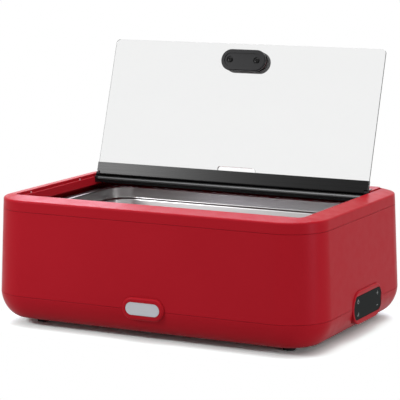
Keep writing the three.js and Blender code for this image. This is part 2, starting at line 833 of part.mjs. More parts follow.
// Food pan, in sheet steel: floor, stacking shoulder and a flange with a turned-down lip
function makeFoodPan() {
  const mouth_x = pan_length / 2 - pan_flange;
  const mouth_y = pan_depth / 2 - pan_flange;
  const level = pan_flange_level;
  const floor = level - pan_height;
  const inside = (inset, z) => section(mouth_x - inset, mouth_y - inset, pan_mouth_radius - inset, z);
  const shoulder = pan_shoulder_inset;
  const foot = shoulder + pan_taper_inset;
  const sections = [];
  for (let i = 0; i <= fillet_steps; i += 1) {
    const angle = (Math.PI / 2) * (i / fillet_steps);
    const inset = foot + pan_floor_radius * (1 - Math.sin(angle));
    sections.push(inside(inset, floor + pan_sheet + pan_floor_radius * (1 - Math.cos(angle))));
  }
  const shoulder_top = level - pan_shoulder_drop;
  sections.push(inside(shoulder, shoulder_top - shoulder / 2));
  sections.push(inside(shoulder / 2, shoulder_top));
  sections.push(inside(pan_sheet / 2, shoulder_top + shoulder / 2));
  sections.push(inside(0, level - pan_sheet));
  sections.push(inside(-pan_sheet, level));
  const edge = (grow, z) => section(pan_length / 2 - grow, pan_depth / 2 - grow, pan_corner_radius - grow, z);
  sections.push(edge(pan_sheet / 2, level), edge(0, level - pan_sheet / 2), edge(0, level - pan_lip));
  sections.push(edge(pan_sheet, level - pan_lip), edge(pan_sheet, level - pan_sheet));
  sections.push(inside(-2 * pan_sheet, level - pan_sheet));
  sections.push(inside(-pan_sheet, level - 2 * pan_sheet));
  sections.push(inside(-pan_sheet / 2, shoulder_top + shoulder / 2));
  sections.push(inside(shoulder / 2 - pan_sheet, shoulder_top));
  sections.push(inside(shoulder - pan_sheet, shoulder_top - shoulder / 2));
  for (let i = fillet_steps; i >= 0; i -= 1) {
    const angle = (Math.PI / 2) * (i / fillet_steps);
    const radius = pan_floor_radius + pan_sheet;
    const inset = foot - pan_sheet + radius * (1 - Math.sin(angle));
    sections.push(inside(inset, floor + radius * (1 - Math.cos(angle))));
  }
  return skin(sections.reverse(), false, sheet_corner_steps);
}

// Heating well: sheet steel tray that hangs on the body shell's shelf
function makeHeatingWell() {
  const level = well_flange_level;
  const floor = well_floor;
  const inside = (inset, z) => section(
    well_half_length - inset,
    well_half_depth - inset,
    pan_mouth_radius - inset,
    z,
  );
  const foot = well_taper_inset;
  const sections = [];
  for (let i = 0; i <= fillet_steps; i += 1) {
    const angle = (Math.PI / 2) * (i / fillet_steps);
    const inset = foot + well_floor_radius * (1 - Math.sin(angle));
    sections.push(inside(inset, floor + well_floor_radius * (1 - Math.cos(angle))));
  }
  sections.push(inside(0, level));
  sections.push(inside(-well_flange, level), inside(-well_flange, level - well_sheet));
  sections.push(inside(-well_sheet, level - well_sheet));
  for (let i = fillet_steps; i >= 0; i -= 1) {
    const angle = (Math.PI / 2) * (i / fillet_steps);
    const radius = well_floor_radius + well_sheet;
    const inset = foot - well_sheet + radius * (1 - Math.sin(angle));
    sections.push(inside(inset, floor - well_sheet + radius * (1 - Math.cos(angle))));
  }
  return skin(sections.reverse(), false, sheet_corner_steps);
}

// Heater stack: plate, wound element, insulation, shield, sensor and cut-out
function makeHeatingPlate() {
  const shape = outlineShape(heater_length / 2, heater_depth / 2, heater_corner_radius);
  return slab(shape, heater_plate_thickness).translate(0, 0, plate_bottom);
}

function makeHeatingElement() {
  const path = new THREE.Path();
  const half_run = element_run / 2;
  const pitch = 2 * element_bend_radius;
  const first = (-(element_run_count - 1) * pitch) / 2;
  path.moveTo(-half_run, first);
  for (let i = 0; i < element_run_count; i += 1) {
    const side = i % 2 === 0 ? 1 : -1;
    const y = first + i * pitch;
    path.lineTo(side * half_run, y);
    if (i < element_run_count - 1) {
      const from = -Math.PI / 2;
      path.absarc(side * half_run, y + element_bend_radius, element_bend_radius, from, -from, side < 0);
    }
  }
  const route = path.getSpacedPoints(element_step_count)
    .map((p) => new THREE.Vector3(p.x, p.y, element_level));
  const tube = circleShape(element_radius, element_side_count);
  return new THREE.ExtrudeGeometry(tube, {
    steps: element_step_count,
    extrudePath: new THREE.CatmullRomCurve3(route),
    bevelEnabled: false,
  });
}

function makeInsulation() {
  const shape = outlineShape(
    heater_length / 2 + insulation_margin,
    heater_depth / 2 + insulation_margin,
    heater_corner_radius + insulation_margin,
  );
  return slab(shape, insulation_thickness).translate(0, 0, insulation_bottom);
}

function makeHeatShield() {
  const half_x = heater_length / 2 + insulation_margin + shield_margin;
  const half_y = heater_depth / 2 + insulation_margin + shield_margin;
  const radius = heater_corner_radius + insulation_margin + shield_margin;
  const rim = shield_bottom + shield_wall;
  const shrink = shield_sheet;
  return skin([
    section(half_x, half_y, radius, shield_bottom),
    section(half_x, half_y, radius, rim),
    section(half_x - shrink, half_y - shrink, radius - shrink, rim),
    section(half_x - shrink, half_y - shrink, radius - shrink, shield_bottom + shield_sheet),
  ], false, small_corner_steps);
}

function makeSensor() {
  const x = heater_length / 2 - sensor_inset;
  const y = 2 * element_bend_radius;
  return post(sensor_radius, insulation_top + sensor_gap, plate_bottom - seat_gap, x, y);
}

function makeCutout() {
  const x = cutout_inset - heater_length / 2;
  return post(cutout_radius, insulation_top + seat_gap, plate_bottom - seat_gap, x, 0);
}

// Power board with its relay, on four posts of its own
function makePowerBoard() {
  const level = base_floor + wall + seat_gap;
  const underside = level + board_post_height;
  const middle = underside + board_thickness / 2;
  const board = box(power_board_length, power_board_width, board_thickness, 0, 0, middle);
  const relay = box(relay_length, relay_width, relay_height, 0, 0, middle + relay_height / 2);
  const legs = corners(power_board_length - 2 * board_post_inset, power_board_width - 2 * board_post_inset)
    .map(([x, y]) => smallPost(board_post_radius, level, middle, x, y));
  const y = power_board_width / 2 + power_board_post_gap + post_radius - post_spacing_y / 2;
  return join(board, relay, ...legs).translate(power_board_offset, y, 0);
}

// Hinge bar: extruded section with a bevelled front lip, a cradle and lean-back stop for the lid,
// a channel for the rear pane and one hollow chamber. Drawn about the hinge axis.
function barShape() {
  const half_slot = glass_thickness / 2 + glass_bond;
  const shape = new THREE.Shape();
  shape.moveTo(-bar_front, -bar_drop);
  shape.lineTo(-bar_front, -cradle_radius - bar_bevel);
  shape.lineTo(bar_bevel - bar_front, -cradle_radius);
  shape.lineTo(0, -cradle_radius);
  shape.absarc(0, 0, cradle_radius, -Math.PI / 2, -lean, false);
  shape.lineTo((cradle_radius + barrel_radius * Math.sin(lean)) / Math.cos(lean), barrel_radius);
  shape.lineTo(profile_height, barrel_radius);
  shape.lineTo(profile_height, half_slot);
  shape.lineTo(glass_back - seat_gap, half_slot);
  shape.lineTo(glass_back - seat_gap, -half_slot);
  shape.lineTo(profile_height, -half_slot);
  shape.lineTo(profile_height, -barrel_radius);
  shape.lineTo(bar_back, -barrel_radius);
  shape.lineTo(bar_back, -bar_drop);
  shape.closePath();
  const chamber = new THREE.Path();
  const roof = -cradle_radius - bar_wall;
  chamber.moveTo(bar_wall - bar_front, bar_wall - bar_drop);
  chamber.lineTo(bar_back - bar_wall, bar_wall - bar_drop);
  chamber.lineTo(bar_back - bar_wall, roof);
  chamber.lineTo(bar_bevel + bar_wall - bar_front, roof);
  chamber.lineTo(bar_wall - bar_front, roof - bar_bevel);
  chamber.closePath();
  shape.holes.push(chamber);
  return shape;
}

// Wedge under the bar's end, seen from the front as a triangle with its long side at the mitre
function mitreWedge(side, gap, depth_from, depth_to) {
  const top = -cradle_radius;
  const end = bar_half_length;
  const shape = new THREE.Shape([
    new THREE.Vector2(end + cut_overrun, top + cut_overrun),
    new THREE.Vector2(end - gap, top + cut_overrun),
    new THREE.Vector2(end - gap, top),
    new THREE.Vector2(end - mitre_reach - gap, -bar_drop),
    new THREE.Vector2(end - mitre_reach - gap, -bar_drop - cut_overrun),
    new THREE.Vector2(end + cut_overrun, -bar_drop - cut_overrun),
  ]);
  const wedge = slab(shape, depth_to - depth_from).applyMatrix4(facing_front).translate(0, depth_to, 0);
  return side > 0 ? wedge : wedge.rotateZ(Math.PI).translate(0, depth_to + depth_from, 0);
}

function makeHingeBar() {
  const bar = slab(barShape(), 2 * bar_half_length).applyMatrix4(facing_right)
    .translate(-bar_half_length, 0, 0);
  const wedges = [-1, 1].map((side) => mitreWedge(side, 0, -bar_front - cut_overrun, bar_back + cut_overrun));
  return cut(bar, ...wedges);
}

// End cap of the bar: end plate, ear round the rod and the mitred foot
function makeHingeCap(side) {
  const inner = bar_half_length - ear_width + seat_gap;
  const outer = bar_half_length + seat_gap + cap_wall;
  const plate = new THREE.Shape();
  plate.moveTo(cap_recess - bar_front, -bar_drop);
  plate.lineTo(cap_recess - bar_front, -cradle_radius - bar_bevel);
  plate.lineTo(cap_recess + bar_bevel - bar_front, -cradle_radius);
  plate.lineTo(-barrel_radius, -cradle_radius);
  plate.lineTo(-barrel_radius, 0);
  plate.absarc(0, 0, barrel_radius, Math.PI, 0, true);
  plate.lineTo(bar_back, -barrel_radius);
  plate.lineTo(bar_back, -bar_drop);
  plate.closePath();
  const end_plate = slab(plate, cap_wall).applyMatrix4(facing_right)
    .translate(bar_half_length + seat_gap, 0, 0);
  const ear = slab(circleShape(barrel_radius), outer - inner - cap_wall / 2).applyMatrix4(facing_right)
    .translate(inner, 0, 0);
  const foot_length = mitre_reach + seat_gap + cap_wall / 2;
  const foot_block = box(
    foot_length,
    bar_front + bar_back - cap_recess,
    bar_drop - cradle_radius,
    outer - (cap_wall + foot_length) / 2,
    (bar_back - bar_front + cap_recess) / 2,
    (-bar_drop - cradle_radius) / 2,
  );
  const wedge = mitreWedge(1, -seat_gap, -bar_front - cut_overrun, bar_back + cut_overrun);
  const foot = toGeometry(toSolid(foot_block).intersect(toSolid(wedge)));
  const bore_reach = bar_half_length - inner;
  const bore = slab(circleShape(barrel_bore_radius), bore_reach + cut_overrun).applyMatrix4(facing_right)
    .translate(inner - cut_overrun, 0, 0);
  const cap = cut(join(end_plate, ear, foot), bore);
  return side > 0 ? cap : toGeometry(toSolid(cap).mirror([1, 0, 0]));
}

function makeHingeRod() {
  const length = 2 * (bar_half_length - rod_end_gap);
  return slab(circleShape(rod_radius), length).applyMatrix4(facing_right).translate(-length / 2, 0, 0);
}

// Lid profile: channel for the glass with a round barrel, drawn closed about the hinge axis
function makeLidProfile() {
  const half_slot = glass_thickness / 2 + glass_bond;
  const shape = new THREE.Shape();
  shape.moveTo(-profile_height, barrel_radius);
  shape.lineTo(0, barrel_radius);
  shape.absarc(0, 0, barrel_radius, Math.PI / 2, -Math.PI / 2, true);
  shape.lineTo(-profile_height, -barrel_radius);
  shape.lineTo(-profile_height, -half_slot);
  shape.lineTo(seat_gap - glass_back, -half_slot);
  shape.lineTo(seat_gap - glass_back, half_slot);
  shape.lineTo(-profile_height, half_slot);
  shape.closePath();
  shape.holes.push(circlePath(0, 0, barrel_bore_radius));
  const profile = slab(shape, 2 * lid_half_width).applyMatrix4(facing_right).translate(-lid_half_width, 0, 0);
  const relief = barrel_radius + ear_clearance;
  const inner = bar_half_length - ear_width - ear_clearance;
  const reach = lid_half_width - inner + cut_overrun;
  const reliefs = [-1, 1].map((side) => box(reach, 2 * relief, 2 * relief, side * (inner + reach / 2), 0, 0));
  return cut(profile, ...reliefs);
}

// Lid glass: round free corners, a vent notch in the hinge edge and two holes for the handle
function makeLidGlass() {
  const half = lid_half_width;
  const back = -glass_back;
  const front = -lid_reach;
  const r = lid_corner_radius;
  const left = notch_offset - notch_width / 2;
  const right = notch_offset + notch_width / 2;
  const notch_top = -profile_height - notch_rise;
  const n = notch_radius;
  const shape = new THREE.Shape();
  shape.moveTo(-half, back);
  shape.lineTo(-half, front + r);
  shape.absarc(r - half, front + r, r, Math.PI, 1.5 * Math.PI, false);
  shape.lineTo(half - r, front);
  shape.absarc(half - r, front + r, r, 1.5 * Math.PI, 2 * Math.PI, false);
  shape.lineTo(half, back);
  shape.lineTo(right, back);
  shape.lineTo(right, notch_top + n);
  shape.absarc(right - n, notch_top + n, n, 0, -Math.PI / 2, true);
  shape.lineTo(left + n, notch_top);
  shape.absarc(left + n, notch_top + n, n, -Math.PI / 2, -Math.PI, true);
  shape.lineTo(left, back);
  shape.closePath();
  for (const x of pair(handle_screw_spacing)) {
    shape.holes.push(circlePath(x, -handle_reach, handle_hole_radius));
  }
  return slab(shape, glass_thickness).translate(0, 0, -glass_thickness / 2);
}

// Handle: grip outside, plate inside, washers against the glass and two screws
function makeHandleGrip() {
  const base = glass_thickness / 2 + handle_washer_thickness + seat_gap;
  const levels = [[0, 0], [0, handle_edge_radius], [handle_waist, handle_waist_height]];
  const top = handle_grip_height;
  levels.push([0, top - handle_waist], [0, top - handle_edge_radius], [handle_edge_radius, top]);
  const sections = levels.map(([inset, rise]) => section(
    handle_length / 2 - inset,
    handle_width / 2 - inset,
    handle_width / 2 - inset,
    base + rise,
  ));
  const grip = skin(sections, false, sheet_corner_steps);
  const hole_radius = handle_screw_radius + seat_gap / 2;
  const low = base - cut_overrun;
  const high = base + handle_screw_reach;
  const holes = pair(handle_screw_spacing).map((x) => smallPost(hole_radius, low, high, x, 0));
  return cut(grip, ...holes).translate(0, -handle_reach, 0);
}

function makeHandlePlate() {
  const top = -glass_thickness / 2 - handle_washer_thickness - seat_gap;
  const bottom = top - handle_plate_thickness;
  const shape = stadiumShape(handle_length, handle_width);
  const plate = slab(shape, handle_plate_thickness, handle_edge_radius).translate(0, 0, bottom);
  const rib_shape = outlineShape(handle_rib_width / 2, handle_rib_length / 2, handle_rib_width / 2);
  const rib = slab(rib_shape, handle_rib_height + handle_edge_radius)
    .translate(0, 0, bottom - handle_rib_height);
  const hole_radius = handle_screw_radius + seat_gap / 2;
  const cuts = pair(handle_screw_spacing).flatMap((x) => [
    post(handle_sink_radius, bottom - cut_overrun, bottom + handle_sink_depth, x, 0),
    smallPost(hole_radius, bottom - cut_overrun, top + cut_overrun, x, 0),
  ]);
  return cut(join(plate, rib), ...cuts).translate(0, -handle_reach, 0);
}

function makeHandleWasher(side) {
  const inner = side > 0 ? glass_thickness / 2 : -glass_thickness / 2 - handle_washer_thickness;
  const shape = stadiumShape(handle_length - 2 * handle_edge_radius, handle_width - 2 * handle_edge_radius);
  for (const x of pair(handle_screw_spacing)) {
    shape.holes.push(circlePath(x, 0, handle_hole_radius, small_round_steps));
  }
  const thin = handle_washer_thickness - seat_gap;
  const level = inner + (handle_washer_thickness - thin + side * seat_gap) / 2;
  return slab(shape, thin).translate(0, -handle_reach, level);
}

function makeHandleScrews() {
  const plate_face = -glass_thickness / 2 - handle_washer_thickness - seat_gap - handle_plate_thickness;
  const head = plate_face + handle_sink_depth - seat_gap - handle_screw_head_height;
  const end = glass_thickness / 2 + handle_washer_thickness + handle_screw_reach - seat_gap;
  const size = {
    radius: handle_screw_radius,
    head_radius: handle_screw_head_radius,
    head_height: handle_screw_head_height,
  };
  return pair(handle_screw_spacing).map((x) => screwUp(x, -handle_reach, head, end - head, size));
}

// Rear pane, fixed in the bar's channel
function makeRearPane() {
  const half = lid_half_width;
  const back = recess_half_depth - hinge_y - pane_end_gap;
  const r = lid_corner_radius;
  const shape = new THREE.Shape();
  shape.moveTo(-half, glass_back);
  shape.lineTo(half, glass_back);
  shape.lineTo(half, back - r);
  shape.absarc(half - r, back - r, r, 0, Math.PI / 2, false);
  shape.lineTo(r - half, back);
  shape.absarc(r - half, back - r, r, Math.PI / 2, Math.PI, false);
  shape.closePath();
  return slab(shape, glass_thickness).translate(0, 0, -glass_thickness / 2);
}

// Soft bumpers on the ledge, under the lid and under the rear pane
function makeBumpers() {
  const side_x = recess_half_length - ledge_width / 2;
  const rear_y = recess_half_depth - ledge_width / 2;
  const rear_x = bumper_rear_share * recess_half_length;
  const places = bumper_side_shares.map((share) => share * recess_half_depth)
    .flatMap((y) => [[-side_x, y], [side_x, y]]);
  places.push([-rear_x, rear_y], [rear_x, rear_y]);
  const low = ledge_level + seat_gap;
  const high = ledge_level + bumper_height;
  const tip_radius = bumper_taper_share * bumper_radius;
  return places.map(([x, y]) => smallPost(bumper_radius, low, high, x, y, tip_radius));
}

// Assembly of the housing
addPiece('top_frame', makeTopFrame(), red_plastic);
addPiece('body_shell', makeBodyShell(), red_plastic);
addPiece('base_shell', makeBaseShell(), red_plastic);
addPiece('badge_surround', makeBadgeSurround(), red_plastic);
addPiece('badge_plate', makeBadgePlate(), silver);
addPiece('panel_bezel', makeBezel(), red_plastic);
addPiece('touch_panel', makeTouchPanel(), black_glass);
addPiece('control_board', makeControlBoard(), board_green);
addPiece('power_inlet', makePowerInlet(), black_plastic);
addEach('inlet_screw', makeInletScrews(), steel);
addEach('ledge_bumper', makeBumpers(), silicone);
const foot_names = ['foot_front_left', 'foot_front_right', 'foot_rear_left', 'foot_rear_right'];
corners(foot_spacing_x, foot_spacing_y)
  .forEach(([x, y], i) => addPiece(foot_names[i], makeFoot(x, y), rubber));
addEach('foot_screw', makeFootScrews(), steel);
addEach('base_screw', makeBaseScrews(), steel);

// Heating parts
addPiece('heating_well', makeHeatingWell(), steel);
addPiece('heating_plate', makeHeatingPlate(), aluminium);
addPiece('heating_element', makeHeatingElement(), steel);
addPiece('temperature_sensor', makeSensor(), steel);
addPiece('thermal_cutout', makeCutout(), black_plastic);
addPiece('insulation_pad', makeInsulation(), wool);
addPiece('heat_shield', makeHeatShield(), steel);
addPiece('power_board', makePowerBoard(), board_green);
addPiece('food_pan', makeFoodPan(), steel);

// Lid unit: the bar and rear pane that lie in the frame, and the hinged lid
const hinge_line = new THREE.Group();
hinge_line.position.set(0, hinge_y, hinge_z);
dish.add(hinge_line);
addPiece('hinge_bar', makeHingeBar(), black_metal, hinge_line);
addPiece('hinge_cap_left', makeHingeCap(-1), black_plastic, hinge_line);
addPiece('hinge_cap_right', makeHingeCap(1), black_plastic, hinge_line);
addPiece('hinge_rod', makeHingeRod(), steel, hinge_line);
addPiece('rear_pane', makeRearPane(), clear_glass, hinge_line);

const lid = new THREE.Group();
lid.rotation.x = -(Math.PI / 2 + lean);
hinge_line.add(lid);
addPiece('lid_profile', makeLidProfile(), black_metal, lid);
addPiece('lid_glass', makeLidGlass(), clear_glass, lid);
addPiece('handle_grip', makeHandleGrip(), black_plastic, lid);
addPiece('handle_plate', makeHandlePlate(), black_plastic, lid);
addPiece('handle_washer_outer', makeHandleWasher(1), silicone, lid);
addPiece('handle_washer_inner', makeHandleWasher(-1), silicone, lid);
addEach('handle_screw', makeHandleScrews(), steel, lid);

export default dish;
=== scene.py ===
# Looks of the electric chafing dish: fine meshes, finishes, studio light and the photograph's camera.
# The object's lengths are written in millimetres and turned into metres by MM. Places of lamps, the floor and
# bump depths are in metres. +X is the control panel's side, -Y the serving side.

import json
import math

import bmesh
import bpy
from mathutils import Matrix, Vector

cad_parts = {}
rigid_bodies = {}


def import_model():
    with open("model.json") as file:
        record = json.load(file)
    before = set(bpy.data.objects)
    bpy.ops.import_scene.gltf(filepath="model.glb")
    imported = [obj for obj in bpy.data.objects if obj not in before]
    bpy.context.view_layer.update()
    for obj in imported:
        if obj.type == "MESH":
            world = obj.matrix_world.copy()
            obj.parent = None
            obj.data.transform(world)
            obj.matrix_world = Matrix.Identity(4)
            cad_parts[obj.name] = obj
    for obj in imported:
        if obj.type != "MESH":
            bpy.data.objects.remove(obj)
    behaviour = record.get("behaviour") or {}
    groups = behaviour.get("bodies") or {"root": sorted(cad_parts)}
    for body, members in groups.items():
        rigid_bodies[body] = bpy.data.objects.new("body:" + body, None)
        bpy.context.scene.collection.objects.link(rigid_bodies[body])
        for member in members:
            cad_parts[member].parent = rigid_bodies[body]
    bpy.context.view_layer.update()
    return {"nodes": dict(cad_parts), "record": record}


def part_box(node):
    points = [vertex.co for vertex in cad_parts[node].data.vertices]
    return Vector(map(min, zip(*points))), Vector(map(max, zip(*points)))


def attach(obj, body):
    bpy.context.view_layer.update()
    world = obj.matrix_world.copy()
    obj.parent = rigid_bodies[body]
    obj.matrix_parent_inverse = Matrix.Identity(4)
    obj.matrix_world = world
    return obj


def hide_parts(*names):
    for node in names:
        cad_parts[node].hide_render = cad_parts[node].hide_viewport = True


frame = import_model()
MM = 0.001

# Housing, as in the CAD model
HALF_LENGTH = 302.0
HALF_DEPTH = 203.4
CORNER = 67.0
FLARE = 6.8
FLOOR_Z = 12.6
LOW_SEAM = FLOOR_Z + 43.6
TOP_SEAM = LOW_SEAM + 145.2
EDGE_Z = TOP_SEAM + 18.6
CROWN_Z = EDGE_Z + 5.6
LEDGE_Z = EDGE_Z
WALL = 3.0
BAND = 31.6
RECESS_X = HALF_LENGTH - BAND
RECESS_Y = HALF_DEPTH - BAND
RECESS_CORNER = 10.0
LEDGE = 3.5
LIP_Z = LEDGE_Z - 14.5
UNDERSIDE_INSET = 31.0
UNDERSIDE_POWER = 1.75
SEAM_GAP = 0.4
SEAM_ROUND = 0.4
COLLAR_INSET = 3.4
COLLAR_WALL = 2.0
COLLAR_HEIGHT = 4.6
CLEARANCE = 0.3
CUT_THROUGH = 40.0

# Feet, and the legs that take the base's screws
FEET = [(x, y) for y in (-140.0, 140.0) for x in (-235.0, 235.0)]
LEGS = [(x, y) for y in (-120.0, 120.0) for x in (-262.0, 262.0)]
FOOT_NODES = ["foot_front_left", "foot_front_right", "foot_rear_left", "foot_rear_right"]
FOOT_SEAT_Z = 7.0

# Screws: head radius, head height, shank radius and reach
FOOT_SCREW = (3.8, 2.4, 2.0, 23.9)
BASE_SCREW = (3.8, 2.4, 2.0, 17.4)
INLET_SCREW = (3.0, 1.8, 1.5, 12.0)
HANDLE_SCREW = (4.6, 2.0, 2.4, 17.0)

# Hinge line, lid and rear pane
HINGE_Y = 108.2
HINGE_Z = LEDGE_Z + 5.3
LEAN = math.radians(17.9)
GLASS = 4.0
GLASS_EDGE = 9.8
GLASS_CORNER = 8.0
SLOT_END = 9.5
HALF_SLOT = GLASS / 2 + CLEARANCE
LID_WIDTH = 537.0
LID_REACH = 253.3
PROFILE_HEIGHT = 20.5
BARREL = 3.5
CRADLE = 3.9
BAR_HALF = 267.5
BAR_FRONT = 12.5
BAR_BACK = 5.0
BAR_DROP = 14.7
BAR_BEVEL = 4.5
MITRE = 12.5
END_CAP = 5.2
NOTCH_CENTRE = 13.5
NOTCH_HALF = 37.0
NOTCH_RISE = 7.6

# Handle
HANDLE_REACH = 222.3
HANDLE_SIZE = (44.0, 19.5, 19.5)
HANDLE_SCREW_X = 26.5
HANDLE_HOLE = 2.55
HANDLE_SINK = 2.6
WASHER = 0.8
HANDLE_PLATE_TOP = -GLASS / 2 - WASHER - CLEARANCE
HANDLE_PLATE_FACE = HANDLE_PLATE_TOP - 5.0

# Badge and control panel; a size is half the length, half the height and the corner radius
BADGE_SIZE = (39.0, 19.0, 19.0)
PLATE_SIZE = (31.75, 10.75, 10.75)
BADGE_DEPTH = 14.0
BADGE_X = 2.8
BADGE_Z = 58.4
BADGE_Y = -(HALF_DEPTH + FLARE)
BADGE_PROUD = 4.6
BEZEL_SIZE = (63.5, 28.5, 28.5)
PANEL_SIZE = (59.0, 19.75, 14.0)
PANEL_DEPTH = 17.0
PANEL_Y = 12.0
PANEL_Z = 54.6
PANEL_X = HALF_LENGTH + FLARE
BEZEL_PROUD = 1.6

# Power inlet, on the leaning rear wall
INLET_X = 190.0
INLET_Z = 101.6
INLET_SCREW_X = 20.0
REAR_TILT = math.atan2(FLARE, EDGE_Z - LOW_SEAM)

# Mesh fineness
CORNER_STEPS = 20
ARC_STEPS = 6
SHARP_ANGLE = math.radians(35)
NEARLY_STRAIGHT = math.radians(178)
WELD_DISTANCE = 0.000004

# Camera, worked out from the photograph; its focal length is in pixels of the image
CAMERA_PLACE = Vector((1469.5, -2841.3, 731.1)) * MM
CAMERA_FORWARD = Vector((-0.45344, 0.87664, -0.16091))
CAMERA_RIGHT = Vector((0.88844, 0.45897, -0.00310))
LENS_PIXELS = 1871.06
IMAGE_PIXELS = 400
SENSOR = 36.0
NEAREST_SEEN = 0.05
FURTHEST_SEEN = 50.0

# Studio light; the floor turns white between two distances beyond the footprint, in metres
STUDIO_FILL = 0.42
OVERHEAD_WATTS = 66.0
LEFT_WATTS = 17.5
RIGHT_WATTS = 14.5
REAR_WATTS = 58.0
FLOOR_BOUNCE = (0.45, 0.45, 0.45)
REAR_TINT = (0.92, 0.84, 1.0)
FLOOR_SEEN = (1.38, 1.60, 1.58)
FLOOR_MIRRORED = (0.85, 0.85, 0.85)
FLOOR_FADE_START = -0.04
FLOOR_FADE_END = 0.045
FLOOR_REACH = 12.0


# Materials

def new_material(name):
    material = bpy.data.materials.new(name)
    material.use_nodes = True
    shader = material.node_tree.nodes["Principled BSDF"]
    return material, material.node_tree, shader


def add_node(tree, kind, **settings):
    node = tree.nodes.new(kind)
    for key, value in settings.items():
        if key in node.inputs:
            node.inputs[key].default_value = value
        else:
            setattr(node, key, value)
    return node


def noise(tree, scale, detail=3.0, stretch=(1.0, 1.0, 1.0)):
    """Noise in the object's own space, stretched along its axes."""
    place = add_node(tree, "ShaderNodeTexCoord")
    mapping = add_node(tree, "ShaderNodeMapping", Scale=stretch)
    texture = add_node(tree, "ShaderNodeTexNoise", Scale=scale, Detail=detail)
    tree.links.new(place.outputs["Object"], mapping.inputs["Vector"])
    tree.links.new(mapping.outputs["Vector"], texture.inputs["Vector"])
    return texture.outputs["Fac"]


def ramp(tree, factor, low, high, from_value=0.35, to_value=0.65):
    limits = {"From Min": from_value, "From Max": to_value, "To Min": low, "To Max": high}
    node = add_node(tree, "ShaderNodeMapRange", **limits)
    tree.links.new(factor, node.inputs["Value"])
    return node.outputs["Result"]


def colour_mix(tree, factor, first, second):
    node = add_node(tree, "ShaderNodeMix", data_type="RGBA")
    node.inputs[6].default_value = (*first, 1.0)
    node.inputs[7].default_value = (*second, 1.0)
    tree.links.new(factor, node.inputs[0])
    return node.outputs[2]


def bump(tree, shader, height, distance, strength=1.0):
    node = add_node(tree, "ShaderNodeBump", Distance=distance, Strength=strength)
    tree.links.new(height, node.inputs["Height"])
    tree.links.new(node.outputs["Normal"], shader.inputs["Normal"])


def vary_colour(tree, shader, factor, first, second):
    """Lets the base colour wander between two tones."""
    tree.links.new(colour_mix(tree, factor, first, second), shader.inputs["Base Color"])


def vary_roughness(tree, shader, factor, low, high):
    tree.links.new(ramp(tree, factor, low, high), shader.inputs["Roughness"])


def red_plastic():
    """Moulded red with a satin gloss, a faint orange peel and a slightly uneven sheen."""
    material, tree, shader = new_material("housing_red")
    mottle = noise(tree, 9.0, 4.0)
    vary_colour(tree, shader, mottle, (0.362, 0.0088, 0.0155), (0.388, 0.0108, 0.0190))
    vary_roughness(tree, shader, noise(tree, 60.0), 0.30, 0.38)
    shader.inputs["Specular IOR Level"].default_value = 0.045
    shader.inputs["Specular Tint"].default_value = (1.0, 0.72, 1.0, 1.0)
    bump(tree, shader, noise(tree, 900.0, 2.0), 0.00002, 0.25)
    return material


def drawn_steel():
    """Bright drawn steel, finely brushed along its length."""
    material, tree, shader = new_material("pan_steel")
    streaks = noise(tree, 12.0, 3.0, (1.0, 18.0, 18.0))
    cloud = noise(tree, 7.0, 3.0)
    vary_colour(tree, shader, cloud, (0.42, 0.42, 0.421), (0.435, 0.435, 0.435))
    shader.inputs["Metallic"].default_value = 1.0
    vary_roughness(tree, shader, streaks, 0.275, 0.29)
    bump(tree, shader, streaks, 0.0000008, 0.1)
    return material


def plain_metal(name, colour, rough_low, rough_high, scale=60.0):
    material, tree, shader = new_material(name)
    grain = noise(tree, scale, 4.0)
    darker = tuple(0.9 * c for c in colour)
    vary_colour(tree, shader, grain, darker, colour)
    shader.inputs["Metallic"].default_value = 1.0
    vary_roughness(tree, shader, grain, rough_low, rough_high)
    bump(tree, shader, noise(tree, 500.0), 0.00002, 0.2)
    return material


def black_metal():
    """Satin black coated extrusion, with faint draw lines along it."""
    material, tree, shader = new_material("black_metal")
    lines = noise(tree, 30.0, 4.0, (0.05, 20.0, 20.0))
    vary_colour(tree, shader, lines, (0.003, 0.003, 0.0032), (0.005, 0.005, 0.0052))
    shader.inputs["Specular IOR Level"].default_value = 0.14
    vary_roughness(tree, shader, lines, 0.26, 0.28)
    bump(tree, shader, lines, 0.00002, 0.3)
    return material


def plastic(name, colour, rough_low=0.38, rough_high=0.5, grain_scale=700.0, grain_depth=0.00004):
    material, tree, shader = new_material(name)
    cloud = noise(tree, 25.0, 4.0)
    lighter = tuple(min(1.0, 1.25 * c + 0.002) for c in colour)
    vary_colour(tree, shader, cloud, colour, lighter)
    vary_roughness(tree, shader, noise(tree, 140.0), rough_low, rough_high)
    shader.inputs["Specular IOR Level"].default_value = 0.16
    bump(tree, shader, noise(tree, grain_scale, 2.0), grain_depth, 0.35)
    return material


def clear_glass():
    """Tempered glass with the faintest green-grey tint and light smears."""
    material, tree, shader = new_material("clear_glass")
    smears = noise(tree, 5.0, 5.0, (1.0, 2.5, 2.5))
    vary_colour(tree, shader, smears, (0.862, 0.865, 0.864), (0.882, 0.885, 0.884))
    vary_roughness(tree, shader, smears, 0.0, 0.02)
    shader.inputs["IOR"].default_value = 1.5
    shader.inputs["Transmission Weight"].default_value = 1.0
    return material


def black_glass():
    """Glossy black front of the touch panel."""
    material, tree, shader = new_material("panel_glass")
    cloud = noise(tree, 30.0, 3.0)
    vary_colour(tree, shader, cloud, (0.008, 0.010, 0.010), (0.011, 0.013, 0.013))
    vary_roughness(tree, shader, cloud, 0.16, 0.22)
    shader.inputs["Specular IOR Level"].default_value = 0.01
    return material


def painted_highlight_metal():
    """Dull aluminium-grey metal, brushed along its length, for the strip that paints the highlight line along
    the hinge bar's bevel.
    """
    material, tree, shader = new_material("painted_highlight_metal")
    streaks = noise(tree, 30.0, 3.0, (1.0, 20.0, 20.0))
    vary_colour(tree, shader, streaks, (0.075, 0.076, 0.078), (0.100, 0.101, 0.104))
    shader.inputs["Metallic"].default_value = 1.0
    vary_roughness(tree, shader, streaks, 0.40, 0.48)
    return material


